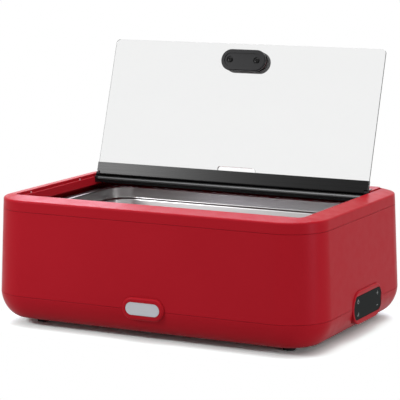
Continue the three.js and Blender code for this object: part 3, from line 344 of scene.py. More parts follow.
def satin_silver():
    """Blank silver plate, brushed lengthwise."""
    material, tree, shader = new_material("badge_silver")
    streaks = noise(tree, 40.0, 5.0, (1.0, 18.0, 18.0))
    vary_colour(tree, shader, streaks, (0.42, 0.43, 0.46), (0.48, 0.49, 0.52))
    shader.inputs["Metallic"].default_value = 0.5
    vary_roughness(tree, shader, streaks, 0.32, 0.42)
    bump(tree, shader, streaks, 0.00003, 0.3)
    return material


def printed_sign():
    """Pale grey print of the panel's signs."""
    material, tree, shader = new_material("panel_signs")
    cloud = noise(tree, 400.0, 2.0)
    vary_colour(tree, shader, cloud, (0.26, 0.28, 0.28), (0.34, 0.36, 0.36))
    shader.inputs["Roughness"].default_value = 0.5
    return material


MATERIALS = {
    "housing_red": red_plastic(),
    "badge_silver": satin_silver(),
    # Lighter metal for the strip that paints the highlight line on the hinge bar's bevel
    "painted_highlight_metal": painted_highlight_metal(),
    "panel_glass": black_glass(),
    "circuit_board": plastic("circuit_board", (0.012, 0.085, 0.035)),
    "black_plastic": plastic("black_plastic", (0.010, 0.010, 0.011), 0.30, 0.38),
    "black_metal": black_metal(),
    "clear_glass": clear_glass(),
    "pan_steel": drawn_steel(),
    "well_steel": plain_metal("well_steel", (0.55, 0.55, 0.56), 0.28, 0.42),
    "fastener_steel": plain_metal("fastener_steel", (0.52, 0.53, 0.55), 0.22, 0.36, 200.0),
    "heater_aluminium": plain_metal("heater_aluminium", (0.62, 0.63, 0.65), 0.35, 0.5),
    "element_steel": plain_metal("element_steel", (0.20, 0.19, 0.18), 0.45, 0.6),
    "insulation": plastic("insulation", (0.62, 0.58, 0.48), 0.8, 0.95, 120.0, 0.0006),
    "silicone": plastic("silicone", (0.62, 0.33, 0.35), 0.35, 0.5),
    "foot_rubber": plastic("foot_rubber", (0.014, 0.014, 0.015), 0.6, 0.8, 300.0, 0.0001),
    "panel_signs": printed_sign(),
}


# Mesh helpers

def new_object(name, data):
    thing = bpy.data.objects.new(name, data)
    bpy.context.scene.collection.objects.link(thing)
    return thing


def to_object(name, mesh, material, place=None):
    """Makes a smooth-shaded object of a mesh, with sharp edges kept and faces weighted by area."""
    if place is not None:
        mesh.transform(place)
    for polygon in mesh.polygons:
        polygon.use_smooth = True
    mesh.set_sharp_from_angle(angle=SHARP_ANGLE)
    piece = new_object(name, mesh)
    piece.data.materials.clear()
    piece.data.materials.append(MATERIALS[material])
    weigh = piece.modifiers.new("weigh", "WEIGHTED_NORMAL")
    weigh.mode = "FACE_AREA"
    weigh.weight = 90
    weigh.keep_sharp = True
    return piece


def add_piece(name, mesh, slot, body, *nodes, place=None, finish=None):
    """Piece that rides its CAD body and stands for CAD nodes; its finish is its slot's unless given."""
    piece = to_object(name, mesh, finish or slot, place)
    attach(piece, body)
    if nodes:
        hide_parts(*nodes)


def rounded_outline(half_x, half_y, radius, steps=CORNER_STEPS):
    points = []
    for corner in range(4):
        side_x = 1 if corner in (0, 3) else -1
        side_y = 1 if corner < 2 else -1
        for step in range(steps + 1):
            angle = (corner + step / steps) * math.pi / 2
            x = side_x * (half_x - radius) + radius * math.cos(angle)
            y = side_y * (half_y - radius) + radius * math.sin(angle)
            points.append((x, y))
    return points


def connect(work, rows, closed):
    """Makes faces from each row of corners to the next, and from the last row to the first if closed."""
    count = len(rows[0])
    bands = len(rows) if closed else len(rows) - 1
    for band in range(bands):
        low = rows[band]
        high = rows[(band + 1) % len(rows)]
        for i in range(count):
            following = (i + 1) % count
            corners = [low[i], low[following], high[following], high[i]]
            work.faces.new(list(dict.fromkeys(corners)))


def finished(work, name):
    """Mesh of the faces made, facing outwards."""
    mesh = bpy.data.meshes.new(name)
    bmesh.ops.recalc_face_normals(work, faces=work.faces)
    work.to_mesh(mesh)
    work.free()
    return mesh


def skin(name, sections, ring=False, steps=CORNER_STEPS):
    """Skins round-cornered outlines, each (half_x, half_y, radius, z), into one closed mesh in metres."""
    work = bmesh.new()
    rows = []
    for half_x, half_y, radius, z in sections:
        outline = rounded_outline(half_x, half_y, radius, steps)
        rows.append([work.verts.new((x * MM, y * MM, z * MM)) for x, y in outline])
    connect(work, rows, ring)
    if not ring:
        work.faces.new(list(reversed(rows[0])))
        work.faces.new(rows[-1])
    return finished(work, name)


def turned(name, profile, steps=48):
    """Turns (radius, z) points round the upright axis; the profile ends on the axis or closes on itself."""
    work = bmesh.new()
    rows = []
    for radius, z in profile:
        if radius == 0:
            rows.append([work.verts.new((0, 0, z * MM))] * steps)
            continue
        rows.append([
            work.verts.new((
                radius * math.cos(2 * math.pi * i / steps) * MM,
                radius * math.sin(2 * math.pi * i / steps) * MM,
                z * MM,
            ))
            for i in range(steps)
        ])
    connect(work, rows, profile[0] != profile[-1] and profile[0][0] != 0)
    return finished(work, name)


def fillet(points, radii, steps=ARC_STEPS):
    """Rounds the corners of a closed outline; a radius of 0 keeps a corner sharp."""
    rounded = []
    count = len(points)
    for i, point in enumerate(points):
        here = Vector(point)
        radius = radii[i] if isinstance(radii, (list, tuple)) else radii
        before = (Vector(points[i - 1]) - here).normalized()
        after = (Vector(points[(i + 1) % count]) - here).normalized()
        angle = before.angle(after)
        if radius <= 0 or angle > NEARLY_STRAIGHT:
            rounded.append(tuple(here))
            continue
        reach = radius / math.tan(angle / 2)
        centre = here + (before + after).normalized() * radius / math.sin(angle / 2)
        start = here + before * reach - centre
        end = here + after * reach - centre
        sweep = start.angle(end)
        for step in range(steps + 1):
            share = step / steps
            first = math.sin((1 - share) * sweep) / math.sin(sweep)
            second = math.sin(share * sweep) / math.sin(sweep)
            rounded.append(tuple(centre + start * first + end * second))
    return rounded


def circle(x, y, radius, steps=32):
    return [
        (x + radius * math.cos(2 * math.pi * i / steps), y + radius * math.sin(2 * math.pi * i / steps))
        for i in range(steps)
    ]


def slab(name, outlines, thickness, edge=0.0, segments=3):
    """Plate with the given outer outline and holes, from z = 0 up, with rounded edges."""
    curve = bpy.data.curves.new(name, "CURVE")
    curve.dimensions = "2D"
    curve.fill_mode = "BOTH"
    curve.extrude = (thickness / 2 - edge) * MM
    curve.bevel_depth = edge * MM
    curve.bevel_resolution = segments
    curve.offset = -edge * MM
    for outline in outlines:
        spline = curve.splines.new("POLY")
        spline.points.add(len(outline) - 1)
        for point, (x, y) in zip(spline.points, outline):
            point.co = (x * MM, y * MM, 0, 1)
        spline.use_cyclic_u = True
    holder = new_object(name, curve)
    depsgraph = bpy.context.evaluated_depsgraph_get()
    mesh = bpy.data.meshes.new_from_object(holder.evaluated_get(depsgraph))
    bpy.data.objects.remove(holder)
    bpy.data.curves.remove(curve)
    work = bmesh.new()
    work.from_mesh(mesh)
    bmesh.ops.remove_doubles(work, verts=work.verts, dist=WELD_DISTANCE)
    bmesh.ops.recalc_face_normals(work, faces=work.faces)
    bmesh.ops.translate(work, verts=work.verts, vec=(0, 0, thickness / 2 * MM))
    work.to_mesh(mesh)
    work.free()
    return mesh


def cut(mesh, cutters):
    """Cuts closed meshes out of a mesh."""
    holder = new_object("holder", mesh)
    tools = []
    for shape in cutters:
        tool = new_object("tool", shape)
        tools.append(tool)
        modifier = holder.modifiers.new("cut", "BOOLEAN")
        modifier.operation = "DIFFERENCE"
        modifier.solver = "EXACT"
        modifier.object = tool
    depsgraph = bpy.context.evaluated_depsgraph_get()
    result = bpy.data.meshes.new_from_object(holder.evaluated_get(depsgraph))
    for thing in [holder, *tools]:
        bpy.data.objects.remove(thing)
    return result


def cutter(outline, thickness, place):
    """Sharp-edged plate in its place, mostly to cut with."""
    mesh = slab("cutter", [outline], thickness)
    mesh.transform(place)
    return mesh


def joined(name, meshes):
    """Several closed meshes as one mesh."""
    work = bmesh.new()
    for mesh in meshes:
        work.from_mesh(mesh)
    whole = bpy.data.meshes.new(name)
    work.to_mesh(whole)
    work.free()
    return whole


def moved(x=0.0, y=0.0, z=0.0):
    return Matrix.Translation(Vector((x, y, z)) * MM)


HINGE_PLACE = moved(0, HINGE_Y, HINGE_Z)

# Drawing planes: a plate's x, y and thickness become these axes
FACING_RIGHT = Matrix(((0, 0, 1, 0), (1, 0, 0, 0), (0, 1, 0, 0), (0, 0, 0, 1)))
FACING_FRONT = Matrix(((1, 0, 0, 0), (0, 0, -1, 0), (0, 1, 0, 0), (0, 0, 0, 1)))
FACING_BACK = Matrix(((-1, 0, 0, 0), (0, 0, 1, 0), (0, 1, 0, 0), (0, 0, 0, 1)))


# Housing

def flare_at(z):
    """How far the housing's outside stands out beyond its top outline."""
    if z >= LOW_SEAM:
        return FLARE * (EDGE_Z - z) / (EDGE_Z - LOW_SEAM)
    share = min((LOW_SEAM - z) / (LOW_SEAM - FLOOR_Z), 1)
    inner = (1 - share ** UNDERSIDE_POWER) ** (1 / UNDERSIDE_POWER)
    return FLARE - UNDERSIDE_INSET * (1 - inner)


def housing(inset, z):
    return (HALF_LENGTH - inset, HALF_DEPTH - inset, CORNER - inset, z)


def arc(start_angle, end_angle, steps=ARC_STEPS):
    return [math.radians(start_angle + (end_angle - start_angle) * i / steps) for i in range(steps + 1)]


def corner_arc(turn_in, z_low, radius, start, end, steps=ARC_STEPS):
    """Points along a rounded edge, about the centre (turn_in, z_low)."""
    angles = arc(start, end, steps)
    return [(turn_in + radius * math.cos(angle), z_low + radius * math.sin(angle)) for angle in angles]


def seam_edge(level, start, end):
    """Rounded edge of a shell at a seam: from -90 to 0 degrees above the seam, from 0 to 90 below it."""
    centre = level + SEAM_ROUND if start < 0 else level - SEAM_ROUND
    turn = corner_arc(-SEAM_ROUND, centre, SEAM_ROUND, start, end, 3)
    return [housing(-out - flare_at(level), z) for out, z in turn]


def shrunk(size, inset, z):
    """Round-cornered section of the given size, drawn in all round by the inset."""
    half_x, half_y, radius = size
    return (half_x - inset, half_y - inset, radius - inset, z)


def rounded_edge(size, level, inset, drop, end, steps):
    """Sections that round an edge off towards a level: inwards by the inset, over the height of the drop."""
    sections = []
    for angle in arc(0, end, steps):
        sections.append(shrunk(size, inset * (1 - math.cos(angle)), level - drop * (1 - math.sin(angle))))
    return sections


def recess_section(grow, z):
    """A section of the glass recess, grown outwards."""
    return (RECESS_X + grow, RECESS_Y + grow, max(RECESS_CORNER + grow, 1.0), z)


def make_top_frame():
    """Sloped band round the opening, with the recess, the ledge, the inner lip and the hinge pockets."""
    slope = math.degrees(math.atan2(CROWN_Z - EDGE_Z, BAND))
    bottom = TOP_SEAM + SEAM_GAP
    outer_edge = 3.6
    mouth_edge = 1.2
    ledge_edge = 0.6
    sections = seam_edge(bottom, -90, 0)
    edge_lift = outer_edge * math.tan(math.radians(slope)) - outer_edge
    for out, z in corner_arc(-outer_edge, EDGE_Z + edge_lift, outer_edge, 0, 90 - slope, 7):
        sections.append(housing(-out, z))
    # The crown's inner edge, the recess wall, the ledge and the inner lip
    recess = [
        *corner_arc(mouth_edge, CROWN_Z - mouth_edge, mouth_edge, 90 + slope, 180, 5),
        (0, LEDGE_Z),
        *corner_arc(-LEDGE + ledge_edge, LEDGE_Z - ledge_edge, ledge_edge, 90, 180, 3),
        *corner_arc(-LEDGE + ledge_edge, LIP_Z + ledge_edge, ledge_edge, 180, 270, 3),
        (WALL - LEDGE, LIP_Z),
        (WALL - LEDGE, LEDGE_Z - WALL),
    ]
    sections += [recess_section(back, z) for back, z in recess]
    sections.append(housing(WALL, EDGE_Z - WALL))
    sections.append(housing(WALL - flare_at(TOP_SEAM), bottom))
    ring = skin("top_frame_mesh", sections, ring=True)
    pocket = rounded_outline(RECESS_X - BAR_HALF + MITRE, (BAR_FRONT + BAR_BACK) / 2 + 2 * CLEARANCE, 1.5, 4)
    pocket_y = HINGE_Y + (BAR_BACK - BAR_FRONT) / 2
    pocket_floor = HINGE_Z - BAR_DROP - CLEARANCE
    pockets = []
    for side in (-1, 1):
        pockets.append(cutter(pocket, CUT_THROUGH, moved(side * (BAR_HALF - MITRE), pocket_y, pocket_floor)))
    add_piece("frame_band", cut(ring, pockets), "housing_red", "housing", "top_frame")


def seat_outline(size, gap=CLEARANCE):
    """Outline of a given size with a gap all round."""
    return rounded_outline(*(measure + gap for measure in size))


def badge_cutter():
    """Seat of the badge, cut out of the body shell and the base."""
    place = moved(BADGE_X, BADGE_Y + BADGE_DEPTH, BADGE_Z) @ FACING_FRONT
    return cutter(seat_outline(BADGE_SIZE), CUT_THROUGH, place)


def bezel_cutter():
    """Seat of the control panel's bezel."""
    place = moved(PANEL_X - PANEL_DEPTH, PANEL_Y, PANEL_Z) @ FACING_RIGHT
    return cutter(seat_outline(BEZEL_SIZE), CUT_THROUGH, place)


def on_rear_wall():
    """From a plate's own plane to the leaning rear wall, facing back."""
    tilt = Matrix.Rotation(REAR_TILT, 4, "X")
    return moved(INLET_X, HALF_DEPTH + flare_at(INLET_Z), INLET_Z) @ tilt @ FACING_BACK


def inlet_cutters():
    """Holes for the inlet's body and its two screws."""
    body_hole = (14.8, 10.8, 1.0)
    screw_hole = 2.0
    outlines = [rounded_outline(*body_hole)]
    outlines += [circle(INLET_SCREW_X * side, 0, screw_hole, 20) for side in (-1, 1)]
    place = on_rear_wall() @ moved(z=-CUT_THROUGH / 2)
    return [cutter(outline, CUT_THROUGH, place) for outline in outlines]


def make_body_shell():
    """Flared wall between the seams, with a collar inside the top frame and a shelf for the heating well."""
    low = LOW_SEAM + SEAM_GAP / 2

    def at(inset, z):
        return housing(inset - flare_at(z), z)

    inside = COLLAR_INSET + COLLAR_WALL
    collar_top = TOP_SEAM + COLLAR_HEIGHT
    shelf_size = (274.0, 167.5, 42.0)
    well_flange, shelf_root = 1.3, 17.0
    shelf_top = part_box("heating_well")[1].z / MM - well_flange
    shelf_bottom = shelf_top - WALL
    sections = [
        *seam_edge(low, -90, 0),
        *seam_edge(TOP_SEAM, 0, 90),
        at(COLLAR_INSET, TOP_SEAM),
        at(COLLAR_INSET, collar_top),
        at(inside, collar_top),
        at(inside, shelf_top),
        shrunk(shelf_size, 0, shelf_top),
        shrunk(shelf_size, 0, shelf_bottom),
        at(inside, shelf_bottom),
        at(WALL, shelf_top - shelf_root),
        at(WALL, low),
    ]
    ring = skin("body_shell_mesh", sections, ring=True)
    mesh = cut(ring, [badge_cutter(), bezel_cutter(), *inlet_cutters()])
    add_piece("body_wall", mesh, "housing_red", "housing", "body_shell")


def make_base_shell():
    """Base that curves in as a superellipse, with a collar, vents and screw holes."""
    high = LOW_SEAM - SEAM_GAP / 2
    outer_steps = 16
    outside = []
    for i in range(outer_steps + 1):
        angle = math.pi / 2 * i / outer_steps
        z = LOW_SEAM - (LOW_SEAM - FLOOR_Z) * math.sin(angle) ** (2 / UNDERSIDE_POWER)
        if z < high - SEAM_ROUND:
            outside.append(housing(-flare_at(z), z))
    collar = COLLAR_INSET - FLARE
    collar_top = LOW_SEAM + COLLAR_HEIGHT
    inner = [
        housing(collar, high),
        housing(collar, collar_top),
        housing(collar + COLLAR_WALL, collar_top),
    ]
    depth = high - FLOOR_Z - WALL
    inner_steps = 8
    for i in range(inner_steps + 1):
        angle = math.pi / 2 * i / inner_steps
        drop = depth * math.sin(angle) ** (2 / UNDERSIDE_POWER)
        share = math.cos(angle) ** (2 / UNDERSIDE_POWER) if i < inner_steps else 0.0
        inset = collar + COLLAR_WALL + (UNDERSIDE_INSET - COLLAR_WALL) * (1 - share)
        inner.append(housing(inset, high - drop))
    shell = skin("base_shell_mesh", [*reversed(outside), *seam_edge(high, 0, 90), *inner])
    cutters = [badge_cutter(), bezel_cutter(), *vent_cutters()]
    hole_radius, hole_depth = 2.3, 12.0
    for x, y in [*FEET, *LEGS]:
        cutters.append(cutter(circle(x, y, hole_radius, 20), hole_depth, moved(z=FLOOR_Z - hole_depth / 2)))
    add_piece("base_pan", cut(shell, cutters), "housing_red", "housing", "base_shell")


def vent_cutters():
    """Two groups of slots in the underside."""
    count, pitch, group_x = 6, 16.0, 96.0
    half_width, half_length, depth = 2.5, 28.0, 12.0
    outline = rounded_outline(half_width, half_length, half_width - 0.01, 6)
    slots = []
    for side in (-1, 1):
        for i in range(count):
            x = side * group_x + (i - (count - 1) / 2) * pitch
            slots.append(cutter(outline, depth, moved(x, 0, FLOOR_Z - depth / 2)))
    return slots


def make_feet():
    """Hollow rubber feet with a rounded tread and a seat for the screw's head."""
    top = FLOOR_Z - CLEARANCE
    hole, seat, chamfer, tread, round_off = 2.4, 5.0, 0.6, 8.9, 1.6
    lip = [(12.3, -2.0), (12.5, -1.2), (12.2, -0.4), (11.6, 0.0)]
    outline = [(hole, top), (hole, FOOT_SEAT_Z), (seat, FOOT_SEAT_Z), (seat, chamfer)]
    outline += [(seat + chamfer, 0.0), (tread, 0.0)]
    outline += [(tread + round_off * math.sin(a), round_off * (1 - math.cos(a))) for a in arc(15, 85, 5)]
    outline += [(radius, top + rise) for radius, rise in lip]
    for (x, y), node in zip(FEET, FOOT_NODES):
        mesh = turned("foot_mesh", outline)
        add_piece(node + "_rubber", mesh, "foot_rubber", "housing", node, place=moved(x, y))


def cross_head(name, size, place, node, body, finish="fastener_steel"):
    """Screw with a domed head and a cross recess, pointing up from its head."""
    head_radius, head_height, shank_radius, reach = size
    crown = 0.55
    profile = [(0, 0)]
    for angle in arc(0, 90, 6):
        radius = head_radius * (crown + (1 - crown) * math.sin(angle))
        profile.append((radius, head_height * crown * (1 - math.cos(angle))))
    profile += [(head_radius, head_height), (shank_radius, head_height)]
    profile += [(shank_radius, reach - shank_radius / 2), (shank_radius / 2, reach), (0, reach)]
    screw = turned(name, profile, 32)
    arm = head_radius * 0.58
    width = head_radius * 0.13
    corner = width * 0.6
    slot_height = head_height * 0.9
    sunk = moved(z=-head_height * 0.35)
    slots = []
    for half_x, half_y in ((arm, width), (width, arm)):
        slots.append(cutter(rounded_outline(half_x, half_y, corner, 3), slot_height, sunk))
    add_piece(node + "_head", cut(screw, slots), finish, body, node, place=place)


def make_housing_screws():
    """Screws through the feet and through the base, heads down."""
    groups = (("foot_screw", FEET, FOOT_SEAT_Z, FOOT_SCREW), ("base_screw", LEGS, FLOOR_Z, BASE_SCREW))
    for kind, places, seat, size in groups:
        head_height = size[1]
        for i, (x, y) in enumerate(places):
            place = moved(x, y, seat - head_height - CLEARANCE)
            cross_head(kind + "_mesh", size, place, f"{kind}_{i + 1}", "housing")


def make_badge():
    """Raised stadium with a broad rounded bevel, a gap and the blank silver plate."""
    top = BADGE_DEPTH + BADGE_PROUD
    bevel, flat_inset = 4.2, 5.6
    sections = [shrunk(BADGE_SIZE, 0, 0), shrunk(BADGE_SIZE, 0, top - bevel)]
    sections += rounded_edge(BADGE_SIZE, top, bevel, bevel, 78, 8)
    sections.append(shrunk(BADGE_SIZE, flat_inset, top))
    ring = skin("badge_mesh", sections)
    gap, pocket_depth = 0.35, 2.0
    pocket = cutter(seat_outline(PLATE_SIZE, gap), CUT_THROUGH, moved(z=top - pocket_depth))
    place = moved(BADGE_X, BADGE_Y + BADGE_DEPTH, BADGE_Z) @ FACING_FRONT
    add_piece("badge_rim", cut(ring, [pocket]), "housing_red", "housing", "badge_surround", place=place)
    plate_thickness, sunk = 1.2, 0.5
    plate = slab("plate_mesh", [rounded_outline(*PLATE_SIZE)], plate_thickness, 0.3)
    front = place @ moved(z=top - sunk - plate_thickness)
    add_piece("badge_blank", plate, "badge_silver", "housing", "badge_plate", place=front)


def make_control_panel():
    """Bezel that blends into the wall, glossy touch panel and four generic signs."""
    face = PANEL_DEPTH + BEZEL_PROUD
    edge, blend = 1.6, 3.4
    mouth = ((0.9, 0.45), (CLEARANCE, 0.9), (CLEARANCE, 3.3))
    sections = [shrunk(BEZEL_SIZE, 0, 0), shrunk(BEZEL_SIZE, 0, face - edge)]
    sections += rounded_edge(BEZEL_SIZE, face, blend, edge, 88, 8)
    sections += [shrunk(PANEL_SIZE, -gap, face - drop) for gap, drop in mouth]
    ring = skin("bezel_mesh", sections)
    window_size = (50.0, 10.75, 9.0)
    window = cutter(rounded_outline(*window_size), 60.0, moved(z=-20.0))
    place = moved(PANEL_X - PANEL_DEPTH, PANEL_Y, PANEL_Z) @ FACING_RIGHT
    add_piece("panel_rim", cut(ring, [window]), "housing_red", "housing", "panel_bezel", place=place)
    sunk, thickness = 0.6, 2.4
    panel_top = face - sunk
    glass = slab("panel_mesh", [rounded_outline(*PANEL_SIZE)], thickness, 0.7, 4)
    front = place @ moved(z=panel_top - thickness)
    add_piece("panel_front", glass, "panel_glass", "housing", "touch_panel", place=front)
    make_signs(place @ moved(z=panel_top))


def make_signs(place):
    """Power, plus, minus and a bar gauge, printed on the panel."""
    thick, stroke, half = 0.06, 0.9, 3.4
    across, up = 42.0, 10.5

    def stroke_mesh(half_x, half_y, x=0.0, y=0.0):
        mesh = slab("sign", [rounded_outline(half_x, half_y, stroke / 2 - 0.01, 3)], thick)
        mesh.transform(moved(x, y))
        return mesh

    ring = slab("sign", [circle(0, 0, half, 40), circle(0, 0, half - stroke, 40)], thick)
    gap = slab("gap", [[(-stroke, 1.5), (stroke, 1.5), (stroke, 6.0), (-stroke, 6.0)]], 1.0)
    power = [cut(ring, [gap]), stroke_mesh(stroke / 2, 2.2, 0, 2.6)]
    plus = [stroke_mesh(half, stroke / 2), stroke_mesh(stroke / 2, half)]
    minus = [stroke_mesh(half, stroke / 2)]
    gauge = []
    tallest, pitch = 3.2, 2.4
    for i, height in enumerate((1.2, 2.2, tallest)):
        gauge.append(stroke_mesh(stroke / 2, height, (i - 1) * pitch, height - tallest))
    signs = [
        ("sign_power", power, -across, up),
        ("sign_gauge", gauge, -across, -up),
        ("sign_plus", plus, across, up),
        ("sign_minus", minus, across, -up),
    ]
    for name, meshes, x, y in signs:
        mesh = joined(name + "_mesh", meshes)
        add_piece(name, mesh, "panel_glass", "housing", place=place @ moved(x, y), finish="panel_signs")


def make_inlet_shroud(place):
    """Flange and body round a socket that is left empty."""
    flange_size, flange_thickness = (25.0, 14.0, 5.0), 2.6
    body_size, body_depth, body_back = (14.5, 10.5, 0.8), 20.0, -19.7
    half_width, low, high, chamfer = 12.2, -8.3, 8.3, 5.0
    socket_back, screw_hole = -13.4, 1.85
    flange = slab("flange", [rounded_outline(*flange_size, 8)], flange_thickness, 0.7)
    body = cutter(rounded_outline(*body_size), body_depth, moved(z=body_back))
    corners = [
        (-half_width, low),
        (half_width, low),
        (half_width, high - chamfer),
        (half_width - chamfer, high),
        (chamfer - half_width, high),
        (-half_width, high - chamfer),
    ]
    socket = cutter(fillet(corners, 1.2, 4), 30.0, moved(z=socket_back))
    holes = []
    for side in (-1, 1):
        holes.append(cutter(circle(INLET_SCREW_X * side, 0, screw_hole, 20), 12.0, moved(z=-4.0)))
    shell = joined("inlet_mesh", [cut(flange, [socket, *holes]), cut(body, [socket])])
    add_piece("inlet_shroud", shell, "black_plastic", "housing", "power_inlet", place=place)


def make_inlet():
    """Inlet's shroud, its three blades and two screws."""
    place = on_rear_wall() @ moved(z=CLEARANCE)
    make_inlet_shroud(place)
    blade_size, blade_length, blade_foot = (1.0, 2.0, 0.3), 14.0, -14.4
    for i, (x, y) in enumerate(((-7.0, 0.0), (7.0, 0.0), (0.0, 4.0))):
        blade = slab("blade", [rounded_outline(*blade_size, 3)], blade_length, 0.4)
        spot = place @ moved(x, y, blade_foot)
        add_piece(f"inlet_blade_{i + 1}", blade, "fastener_steel", "housing", place=spot)
    head_stand = 5.0
    flip = Matrix.Rotation(math.pi, 4, "X")
    for i, side in enumerate((-1, 1)):
        spot = on_rear_wall() @ moved(INLET_SCREW_X * side, 0, head_stand) @ flip
        cross_head("inlet_screw_mesh", INLET_SCREW, spot, f"inlet_screw_{i + 1}", "housing")


# Food pan

def make_food_pan():
    """Drawn pan: rounded floor, stacking shoulder, rolled brim with a turned-down edge."""
    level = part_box("food_pan")[1].z / MM
    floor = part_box("food_pan")[0].z / MM
    mouth = (253.0, 150.5, 42.0)
    brim_size = (265.0, 162.5, 20.0)
    sheet = 1.0
    taper = 3.4 + 6.0
    floor_radius = 10.0
    shoulder_top = level - 20.0
    shoulder = [(3.5, -4.6), (3.3, -3.4), (2.9, -2.5), (2.2, -1.7), (1.4, -0.9), (0.8, 0.0), (0.5, 1.2)]
    roll, brim_edge = 2.4, 1.0
    turned_down = [(0, 2.7), (0.3, 3.0), (0.8, 3.0), (1.0, 2.7), (1.0, sheet)]

    def floor_edge(inset, z, radius):
        turn = corner_arc(inset + radius, z + radius, radius, 270, 180, 8)
        return [shrunk(mouth, *place) for place in turn]

    def rolled_edge(radius):
        turn = corner_arc(roll, level - roll, radius, 180, 90, 6)
        return [shrunk(mouth, -out, z) for out, z in turn]

    inner = [
        *floor_edge(taper, floor + sheet, floor_radius),
        *(shrunk(mouth, inset, shoulder_top + rise) for inset, rise in shoulder),
        shrunk(mouth, 0.1, level - 3.4),
        *rolled_edge(roll),
    ]
    brim = [
        shrunk(brim_size, brim_edge, level),
        *reversed(rounded_edge(brim_size, level, brim_edge, brim_edge, 90, 5)),
        *(shrunk(brim_size, inset, level - drop) for inset, drop in turned_down),
    ]
    outer = [
        *reversed(rolled_edge(roll - sheet)),
        *(shrunk(mouth, inset - sheet, shoulder_top + rise) for inset, rise in reversed(shoulder)),
        *reversed(floor_edge(taper - sheet, floor, floor_radius + sheet)),
    ]
    mesh = skin("food_pan_mesh", [*inner, *brim, *outer])
    add_piece("steel_pan", mesh, "pan_steel", "food_pan", "food_pan")


# Lid unit

def lid_place():
    """From the lid's closed plane, drawn about the hinge axis, to its open place."""
    turn = Matrix.Rotation(-(math.pi / 2 + LEAN), 4, "X")
    return HINGE_PLACE @ turn


def extruded(name, outlines, length):
    """Mesh of a side view, drawn out along the hinge line."""
    mesh = slab(name, outlines, length)
    mesh.transform(FACING_RIGHT @ moved(z=-length / 2))
    return mesh


def make_hinge_bar():
    """Bar with a bevelled front, the barrel's cradle and stop, the rear pane's slot and mitred ends."""
    front = [(-BAR_FRONT, -BAR_DROP), (-BAR_FRONT, -CRADLE - BAR_BEVEL), (BAR_BEVEL - BAR_FRONT, -CRADLE)]
    points = fillet([*front, (0, -CRADLE)], [0, 0.6, 0.6, 0], 4)[:-1]
    points += [(CRADLE * math.cos(a), CRADLE * math.sin(a)) for a in arc(-90, -math.degrees(LEAN), 12)]
    stop = (CRADLE + BARREL * math.sin(LEAN)) / math.cos(LEAN)
    points += [
        (stop, BARREL),
        (PROFILE_HEIGHT, BARREL),
        (PROFILE_HEIGHT, HALF_SLOT),
        (SLOT_END, HALF_SLOT),
        (SLOT_END, -HALF_SLOT),
        (PROFILE_HEIGHT, -HALF_SLOT),
        (PROFILE_HEIGHT, -BARREL),
        (BAR_BACK, -BARREL),
        (BAR_BACK, -BAR_DROP),
    ]
    bar = extruded("hinge_bar_mesh", [points], 2 * BAR_HALF)
    inner, outer, beyond = BAR_HALF - MITRE, BAR_HALF + 0.01, BAR_HALF + 20.0
    margin, width = 10.0, 60.0
    wedge = [
        (beyond, margin),
        (outer, margin),
        (outer, -CRADLE),
        (inner, -BAR_DROP),
        (inner, -BAR_DROP - margin),
        (beyond, -BAR_DROP - margin),
    ]
    wedges = []
    for side in (-1, 1):
        wedges.append(cutter([(side * x, z) for x, z in wedge], width, moved(y=width / 2) @ FACING_FRONT))
    add_piece("bar_extrusion", cut(bar, wedges), "black_metal", "lid_carrier", "hinge_bar", place=HINGE_PLACE)


def make_bar_painted_highlight():
    """Painted highlight along the hinge bar's bevel, between the end caps: a thin strip of dull lighter metal
    laid over the bevel.
    """
    start, end, proud, sunk, end_gap = 0.38, 0.74, 0.12, 0.3, 0.2
    low = Vector((-BAR_FRONT, -CRADLE - BAR_BEVEL))
    slope = Vector((BAR_BEVEL, BAR_BEVEL))
    outward = Vector((-1.0, 1.0)).normalized()
    corners = [(start, -sunk), (end, -sunk), (end, proud), (start, proud)]
    points = [tuple(low + slope * share + outward * offset) for share, offset in corners]
    mesh = extruded("bar_highlight_mesh", [points], 2 * (BAR_HALF - END_CAP - end_gap))
    edge = to_object("bar_painted_highlight", mesh, "painted_highlight_metal", HINGE_PLACE)
    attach(edge, "lid_carrier")


def make_rear_pane():
    """Deck behind the hinge bar, red as in the photograph."""
    gap = 1.8
    half = LID_WIDTH / 2
    back = RECESS_Y - HINGE_Y - gap
    corners = [(-half, GLASS_EDGE), (half, GLASS_EDGE), (half, back), (-half, back)]
    mesh = slab("rear_pane_mesh", [fillet(corners, [0, 0, GLASS_CORNER, GLASS_CORNER], 8)], GLASS, 0.5, 3)
    place = HINGE_PLACE @ moved(z=-GLASS / 2)
    add_piece("pane_rear", mesh, "housing_red", "lid_carrier", "rear_pane", place=place)


def make_lid_profile():
    """Strip round the hinge rod that holds the lid's glass, cut back at its ends for the end caps."""
    barrel = [(BARREL * math.cos(a), BARREL * math.sin(a)) for a in arc(90, -90, 16)]
    end, chamfer, rod_hole, cap_gap = -PROFILE_HEIGHT, 0.4, 1.75, 0.4
    points = [
        (end + chamfer, BARREL),
        *barrel,
        (end + chamfer, -BARREL),
        (end, -BARREL + chamfer),
        (end, -HALF_SLOT),
        (-SLOT_END, -HALF_SLOT),
        (-SLOT_END, HALF_SLOT),
        (end, HALF_SLOT),
        (end, BARREL - chamfer),
    ]
    strip = extruded("lid_profile_mesh", [points, circle(0, 0, rod_hole, 24)], LID_WIDTH)
    half_block = 20.0
    centre = BAR_HALF - END_CAP - cap_gap + half_block
    block = rounded_outline(half_block, CRADLE, 0.2, 2)
    reliefs = [cutter(block, 2 * CRADLE, moved(side * centre, 0, -CRADLE)) for side in (-1, 1)]
    add_piece("lid_channel", cut(strip, reliefs), "black_metal", "lid", "lid_profile", place=lid_place())


